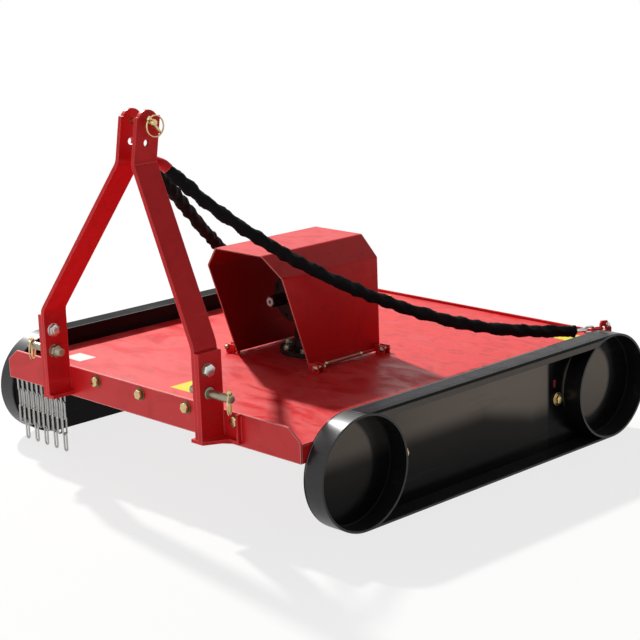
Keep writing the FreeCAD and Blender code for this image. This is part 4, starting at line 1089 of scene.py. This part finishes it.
class SLASHER_OT_chains(bpy.types.Operator):
    """The hanging chains under the front plate and the links at the stays' lower ends"""
    bl_idname = "slasher.chains"
    bl_label = "Chains"

    def execute(self, context):
        box_low, box_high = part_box("front_chains")
        y = (box_low.y + box_high.y) / 2
        count, pitch, inside, wire, play = 10, 23.5 * MM, 47.5 * MM, 5.5 * MM, 0.2 * MM
        first = (box_low.x + box_high.x) / 2 - pitch * (count - 1) / 2
        bm = bmesh.new()
        for chain in range(count):
            x = first + pitch * chain
            sway = 0.05 * noise.noise((chain * 1.7, 4, 0))
            for row in range(4 if chain % 2 else 3):
                z = box_high.z - wire - inside / 2 - row * (inside - play)
                turn = math.pi / 2 * (row % 2) + sway
                place = Matrix.Translation((x, y, z)) @ Matrix.Rotation(turn, 4, "Z") \
                    @ Matrix.Rotation(math.pi / 2, 4, "Y") @ Matrix.Rotation(0.0, 4, "X")
                chain_link(bm, place, inside, wire * 1.35, wire)
        finish_piece("front_chain_links", bm, FINISHES["Chain zinc"],
                     replaces=["front_chains"])
        for name, side in SIDES:
            route = ROUTES[name]
            away = (route[-1] - route[-2])
            away.z = 0
            away.normalize()
            links_low, links_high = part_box(name + "_stay_links")
            level = (links_low.z + links_high.z) / 2
            inside, wire = 26 * MM, 7 * MM
            end = Vector((route[-1].x, route[-1].y, level))
            across = Z.cross(away)
            bm, painted = bmesh.new(), bmesh.new()
            for number, links in enumerate((bm, bm, painted)):
                centre = end + away * (0.7 * MM + wire + inside / 2
                                       + number * (inside - play))
                if number % 2 == 0:
                    turn = Matrix((away, across, Z)).transposed().to_4x4()
                else:
                    turn = Matrix((away, Z, -across)).transposed().to_4x4()
                chain_link(links, Matrix.Translation(centre) @ turn, inside, wire * 1.35, wire,
                           8, 10)
            finish_piece(name + "_stay_end_link", painted, FINISHES["Red frame paint"])
            finish_piece(name + "_stay_chain_end", bm, FINISHES["Bright zinc"],
                         replaces=[name + "_stay_links"])
            lug = middle(name + "_stay_lug")
            bm = bmesh.new()
            spot = Vector((lug.x, lug.y, high(name + "_stay_lug").z - 12 * MM))
            spot += away * 6 * MM
            for out in (across, -across):
                hex_bolt(bm, facing(spot + out * 3.65 * MM, out, 0.4), 10 * MM, 5 * MM, 14 * MM)
            finish_piece(name + "_lug_bolt", bm, FINISHES["Bright zinc"])
        return {"FINISHED"}


# ---- stays ---------------------------------------------------------------------------------

ROUTES = {
    "left": [(31, -506, 856), (66, -446, 782), (112, -356, 697), (163, -248, 610),
             (214, -147, 536), (268, -42, 472), (330, 81, 408), (397, 211, 354),
             (460, 335, 320), (523, 458, 301), (557, 525, 294)],
    "right": [(-31, -506, 856), (-66, -438, 800), (-110, -350, 727), (-163, -248, 645),
              (-214, -147, 566), (-268, -42, 494), (-330, 81, 425), (-397, 211, 366),
              (-460, 335, 329), (-523, 458, 303), (-557, 525, 294)],
}
ROUTES = {name: [Vector(point) * MM for point in points] for name, points in ROUTES.items()}


def smooth_route(name, points):
    """Points read from the smooth line that a route controls."""
    curve = bpy.data.curves.new(name + "_line", "CURVE")
    curve.dimensions = "3D"
    curve.resolution_u = 24
    spline = curve.splines.new("NURBS")
    spline.points.add(len(points) - 1)
    for control, point in zip(spline.points, points):
        control.co = (*point, 1.0)
    spline.order_u = 3
    spline.use_endpoint_u = True
    line = bpy.data.objects.new(name + "_line", curve)
    mesh = bpy.data.meshes.new_from_object(line)
    found = [vert.co.copy() for vert in mesh.vertices]
    bpy.data.meshes.remove(mesh)
    bpy.data.objects.remove(line)
    bpy.data.curves.remove(curve)
    return found


def even_steps(points, step):
    """The same line with its points evenly spaced."""
    total = sum((b - a).length for a, b in zip(points, points[1:]))
    count = int(total / step)
    gap = total / count
    even, need = [points[0].copy()], gap
    for a, b in zip(points, points[1:]):
        run, at = (b - a).length, 0.0
        while run - at >= need and len(even) < count:
            at += need
            even.append(a.lerp(b, at / run))
            need = gap
        need -= run - at
    even.append(points[-1].copy())
    return even, total


class SLASHER_OT_stays(bpy.types.Operator):
    """The two stays, as gathered cloth sleeves over chain"""
    bl_idname = "slasher.stays"
    bl_label = "Stays"

    def execute(self, context):
        sizes = settings("stays")
        radius = sizes.sleeve / 2
        for name, side in SIDES:
            points, total = even_steps(smooth_route(name, ROUTES[name]), 0.0035)
            frames = frames_along(points)
            sides = 28
            bm = bmesh.new()
            radii, turns = [], []
            turn = 0.0
            for index, point in enumerate(points):
                near = noise.noise(point * 7.0 + Vector((side * 4, 0, 0)))
                coarse = noise.noise(point * 26.0 + Vector((0, side * 3, 0)))
                turn += math.pi * (0.0035 / sizes.gather) * (1 + 0.6 * near)
                turns.append(turn)
                end = min(1.0, 0.80 + index * 0.06)
                radii.append(radius * (0.93 + 0.10 * coarse) * end)
            # the open lower mouth folds back inside itself
            mouth = [frames[-1] @ Matrix.Translation((0, 0, -step * MM)) for step in (2, 8, 20)]
            radii[-3:] = [radius * 0.98, radius * 1.06, radius * 1.12]
            rings = swept(bm, frames + mouth, radii + [radius * 0.98, radius * 0.8,
                                                       radius * 0.7], sides)
            wrap = bm.loops.layers.uv.new("Wrap")
            place_of = {}
            for index, verts in enumerate(rings[:len(frames)]):
                here = frames[index]
                origin, along = here.translation, here.to_3x3() @ Z
                back = here.inverted()
                for vert in verts:
                    out = vert.co - origin
                    local = back @ vert.co
                    angle = math.atan2(local.y, local.x)
                    place_of[vert] = (index * 0.0035, angle * radius)
                    oval = 0.11 * math.cos(2 * (angle - turns[index]))
                    fold = noise.noise(Vector((index * 0.10, math.cos(angle) * 1.3,
                                               math.sin(angle) * 1.3 + side * 9)))
                    crease = noise.noise(Vector((index * 0.45 + angle * 0.9,
                                                 math.cos(angle) * 0.8, side * 5)))
                    loose = min(1.0, index / 8)
                    swell = 1.0 + loose * (oval + 0.20 * fold + 0.10 * crease)
                    vert.co = origin + out * swell
                    if 1 < index < len(frames) - 8:
                        vert.co += along * (0.004 * noise.noise(
                            Vector((index * 0.08, angle * 0.8, side * 3))))
            for face in bm.faces:
                for loop in face.loops:
                    if loop.vert in place_of:
                        loop[wrap].uv = place_of[loop.vert]
            piece = finish_piece(name + "_stay_cloth", bm, FINISHES["Sleeve cloth"],
                                 replaces=[name + "_stay_sleeve"],
                                 crease=80)
        return {"FINISHED"}


# ---- rotor ---------------------------------------------------------------------------------

class SLASHER_OT_rotor(bpy.types.Operator):
    """Sharpened blades, and the nuts and bolts under the deck"""
    bl_idname = "slasher.rotor"
    bl_label = "Rotor and blades"

    def execute(self, context):
        for number, (name, side) in enumerate(SIDES, start=1):
            node = "blade_%d" % number
            blade_low, blade_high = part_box(node)
            pivot = side * 0.330
            bm = bmesh.new()
            block(bm, blade_low, blade_high, 0.4 * MM)
            bmesh.ops.recalc_face_normals(bm, faces=bm.faces)
            centre = middle(node)
            cutting = [vert for vert in bm.verts if (vert.co.x - pivot) * side > 0.12
                       or abs(vert.co.x - pivot) > 0.2]
            edge_y = blade_high.y if side > 0 else blade_low.y
            for vert in cutting:
                if abs(vert.co.y - edge_y) < 2 * MM and vert.co.z > centre.z:
                    vert.co.y -= 16 * MM * side
            finish_piece(node + "_ground", bm, FINISHES["Blade steel"],
                         body="blade_one" if number == 1 else "blade_two",
                         replaces=[node])
            node = "blade_bolt_%d" % number
            bolt_low, bolt_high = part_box(node)
            bm = bmesh.new()
            place = facing(Vector((pivot, centre.y, 0)), Z)
            top = high("blade_carrier").z
            profile = [(0, bolt_low.z), (20 * MM, bolt_low.z), (24 * MM, bolt_low.z + 4 * MM),
                       (24 * MM, blade_low.z - 0.6 * MM), (15 * MM, blade_low.z - 0.3 * MM),
                       (15 * MM, blade_high.z + 0.3 * MM), (23 * MM, blade_high.z + 0.6 * MM),
                       (23 * MM, low("blade_carrier").z - 0.2 * MM),
                       (14.9 * MM, low("blade_carrier").z), (14.9 * MM, bolt_high.z),
                       (0, bolt_high.z)]
            turned(bm, place, profile, 32)
            hexagon(bm, facing(Vector((pivot, centre.y, top)), Z, 0.3), 36 * MM, 11 * MM)
            finish_piece(node + "_turned", bm, FINISHES["Machined steel"], body="rotor",
                         replaces=[node])
        hub = middle("rotor_shaft")
        bm = bmesh.new()
        for turn in range(6):
            angle = math.radians(60 * turn)
            spot = Vector((0, hub.y, high("blade_carrier").z + 20 * MM)) + Vector(
                (math.cos(angle), math.sin(angle), 0)) * 42 * MM
            hex_bolt(bm, facing(spot, Z, turn), 17 * MM, 8 * MM, 22 * MM)
        finish_piece("rotor_hub_bolts", bm, FINISHES["Yellow zinc"], body="rotor")
        return {"FINISHED"}


# ---- blank patches -------------------------------------------------------------------------

def patch_finish(name, base):
    material, tree, shader = start_finish(name)
    shader.inputs["Specular IOR Level"].default_value = 0.15
    film = place_effect(tree, "dust", Scale=60.0, Amount=0.25)
    marks = place_effect(tree, "marks", Scale=90.0, Amount=0.3)
    dull = tuple(value * 0.7 for value in base)
    toned = blended(tree, marks.outputs["Mask"], base, dull)
    tree.links.new(blended(tree, film.outputs["Mask"], toned, (0.5, 0.45, 0.38)),
                   shader.inputs["Base Color"])
    tree.links.new(maths(tree, "ADD", film.outputs["Mask"], 0.35), shader.inputs["Roughness"])
    FINISHES[name] = material


class SLASHER_OT_patches(bpy.types.Operator):
    """Blank stuck-on patches on the deck"""
    bl_idname = "slasher.patches"
    bl_label = "Blank patches"

    def execute(self, context):
        patch_finish("White film", (0.80, 0.80, 0.78))
        patch_finish("Yellow film", (0.80, 0.70, 0.008))
        top = high("deck_sheet").z
        for name, label, x, y, z in (
                ("white_patch", "White film", (-0.521, -0.442), (-0.492, -0.434), top),
                ("yellow_patch_front", "Yellow film", (-0.027, 0.073), (-0.494, -0.410), top),
                ("yellow_patch_rear", "Yellow film", (0.452, 0.522), (0.560, 0.630), top),
                ("yellow_patch_far", "Yellow film", (-0.366, -0.306), (0.610, 0.665), top)):
            bm = bmesh.new()
            block(bm, Vector((x[0], y[0], z)), Vector((x[1], y[1], z + 0.4 * MM)))
            upright = [edge for edge in bm.edges
                       if abs(edge.verts[0].co.z - edge.verts[1].co.z) > 0.1 * MM]
            bmesh.ops.bevel(bm, geom=upright, offset=1.5 * MM, offset_type="OFFSET", segments=3,
                            profile=0.5, affect="EDGES", material=-1)
            finish_piece(name, bm, FINISHES[label])
        return {"FINISHED"}


# ---- stage ---------------------------------------------------------------------------------

def area_light(name, place, target, size, power, tint=(1, 1, 1), height=None):
    data = bpy.data.lights.new(name, "AREA")
    data.shape = "ELLIPSE"
    data.size, data.size_y = size, height or size
    data.energy = power
    data.color = tint
    lamp = bpy.data.objects.new(name, data)
    lamp.location = place
    lamp.rotation_euler = (Vector(target) - Vector(place)).to_track_quat("-Z", "Y").to_euler()
    bpy.context.scene.collection.objects.link(lamp)


class SLASHER_OT_stage(bpy.types.Operator):
    """A pale floor, soft studio light and the camera"""
    bl_idname = "slasher.stage"
    bl_label = "Studio"

    def execute(self, context):
        chosen = settings("stage")
        scene = context.scene
        scene.view_settings.view_transform = "Standard"
        world = bpy.data.worlds.new("Studio")
        world.use_nodes = True
        tree = world.node_tree
        sky = tree.nodes["Background"]
        sky.inputs["Color"].default_value = (1, 1, 1, 1)
        rays = tree.nodes.new("ShaderNodeLightPath")
        seen = maths(tree, "ADD", rays.outputs["Is Camera Ray"], rays.outputs["Is Glossy Ray"])
        seen = maths(tree, "ADD", seen, rays.outputs["Is Transmission Ray"])
        seen = maths(tree, "MINIMUM", seen, 1.0)
        gain = maths(tree, "MULTIPLY", seen, 1.0 - chosen.daylight)
        tree.links.new(maths(tree, "ADD", gain, chosen.daylight), sky.inputs["Strength"])
        scene.world = world
        bm = bmesh.new()
        bmesh.ops.create_grid(bm, x_segments=1, y_segments=1, size=60.0)
        mesh = bpy.data.meshes.new("floor")
        bm.to_mesh(mesh)
        bm.free()
        mesh.transform(Matrix.Translation((0, 0, -0.3 * MM)))
        floor = bpy.data.objects.new("floor", mesh)
        scene.collection.objects.link(floor)
        material, tree, shader = start_finish("Pale floor")
        shader.inputs["Base Color"].default_value = (0.86, 0.86, 0.86, 1)
        shader.inputs["Roughness"].default_value = 0.9
        shader.inputs["Specular IOR Level"].default_value = 0.0
        glow = add(tree, "ShaderNodeEmission")
        glow.inputs["Color"].default_value = (1, 1, 1, 1)
        mix = add(tree, "ShaderNodeMixShader")
        rays = add(tree, "ShaderNodeLightPath")
        seen = maths(tree, "ADD", rays.outputs["Is Camera Ray"], rays.outputs["Is Glossy Ray"])
        seen = maths(tree, "ADD", seen, rays.outputs["Is Transmission Ray"])
        place = add(tree, "ShaderNodeTexCoord")
        far = add(tree, "ShaderNodeVectorMath", operation="LENGTH")
        tree.links.new(place.outputs["Object"], far.inputs[0])
        spread = add(tree, "ShaderNodeMapRange", From_Min=1.1, From_Max=3.2, To_Min=0.78,
                     To_Max=1.0)
        tree.links.new(far.outputs["Value"], spread.inputs["Value"])
        tree.links.new(maths(tree, "MULTIPLY", maths(tree, "MINIMUM", seen, 1.0),
                             spread.outputs["Result"]), mix.inputs["Fac"])
        tree.links.new(shader.outputs["BSDF"], mix.inputs[1])
        tree.links.new(glow.outputs["Emission"], mix.inputs[2])
        tree.links.new(mix.outputs["Shader"], tree.nodes["Material Output"].inputs["Surface"])
        mesh.materials.append(material)
        area_light("key", (-11.5, 3.2, 10.4), (0, 0, 0.25), 0.8, 3600, (1.0, 0.98, 0.95))
        area_light("sky", (-4.9, 0.1, 4.9), (0, 0, 0.25), 6.0, 45, (0.80, 0.90, 1.0), 1.0)
        area_light("fill", (0.4, -6.0, 2.0), (0, 0, 0.3), 3.0, 46)
        back = Vector((math.sin(chosen.azimuth) * math.cos(chosen.elevation),
                       -math.cos(chosen.azimuth) * math.cos(chosen.elevation),
                       math.sin(chosen.elevation)))
        right = Z.cross(back).normalized()
        up = back.cross(right)
        turn = Matrix.Rotation(chosen.roll, 3, back)
        right, up = turn @ right, turn @ up
        target = Vector((0, 50.23 * MM, 335.07 * MM))
        data = bpy.data.cameras.new("camera")
        data.lens = chosen.lens
        data.sensor_width = 36.0
        camera = bpy.data.objects.new("camera", data)
        camera.matrix_world = Matrix.Translation(target + back * chosen.distance) @ Matrix(
            (right, up, back)).transposed().to_4x4()
        scene.collection.objects.link(camera)
        scene.camera = camera
        return {"FINISHED"}


# ---- panel and start -----------------------------------------------------------------------

OPERATORS = (SLASHER_OT_finishes, SLASHER_OT_stage, SLASHER_OT_stays, SLASHER_OT_chains,
             SLASHER_OT_plate_bolts, SLASHER_OT_hitch_fixings, SLASHER_OT_welds,
             SLASHER_OT_gearbox, SLASHER_OT_guard_fixings, SLASHER_OT_skid_fixings,
             SLASHER_OT_rotor, SLASHER_OT_patches)


class SLASHER_PT_panel(bpy.types.Panel):
    """The sizes, colours and steps of the slasher's dressing"""
    bl_idname = "SLASHER_PT_panel"
    bl_label = "Rotary slasher"
    bl_space_type = "VIEW_3D"
    bl_region_type = "UI"
    bl_category = "Slasher"

    def draw(self, context):
        for name, group in GROUPS:
            column = self.layout.column(align=True)
            for label in group.__annotations__:
                column.prop(settings(name), label)
        for operator in OPERATORS:
            self.layout.operator(operator.bl_idname)


def register():
    for name, group in GROUPS:
        bpy.utils.register_class(group)
        setattr(bpy.types.Scene, "slasher_" + name, bpy.props.PointerProperty(type=group))
    for item in OPERATORS + (SLASHER_PT_panel,):
        bpy.utils.register_class(item)


def unregister():
    for item in reversed(OPERATORS + (SLASHER_PT_panel,)):
        bpy.utils.unregister_class(item)
    for name, group in reversed(GROUPS):
        delattr(bpy.types.Scene, "slasher_" + name)
        bpy.utils.unregister_class(group)


def main():
    register()
    for operator in OPERATORS:
        group, step = operator.bl_idname.split(".")
        getattr(getattr(bpy.ops, group), step)()


if __name__ == "__main__":
    main()
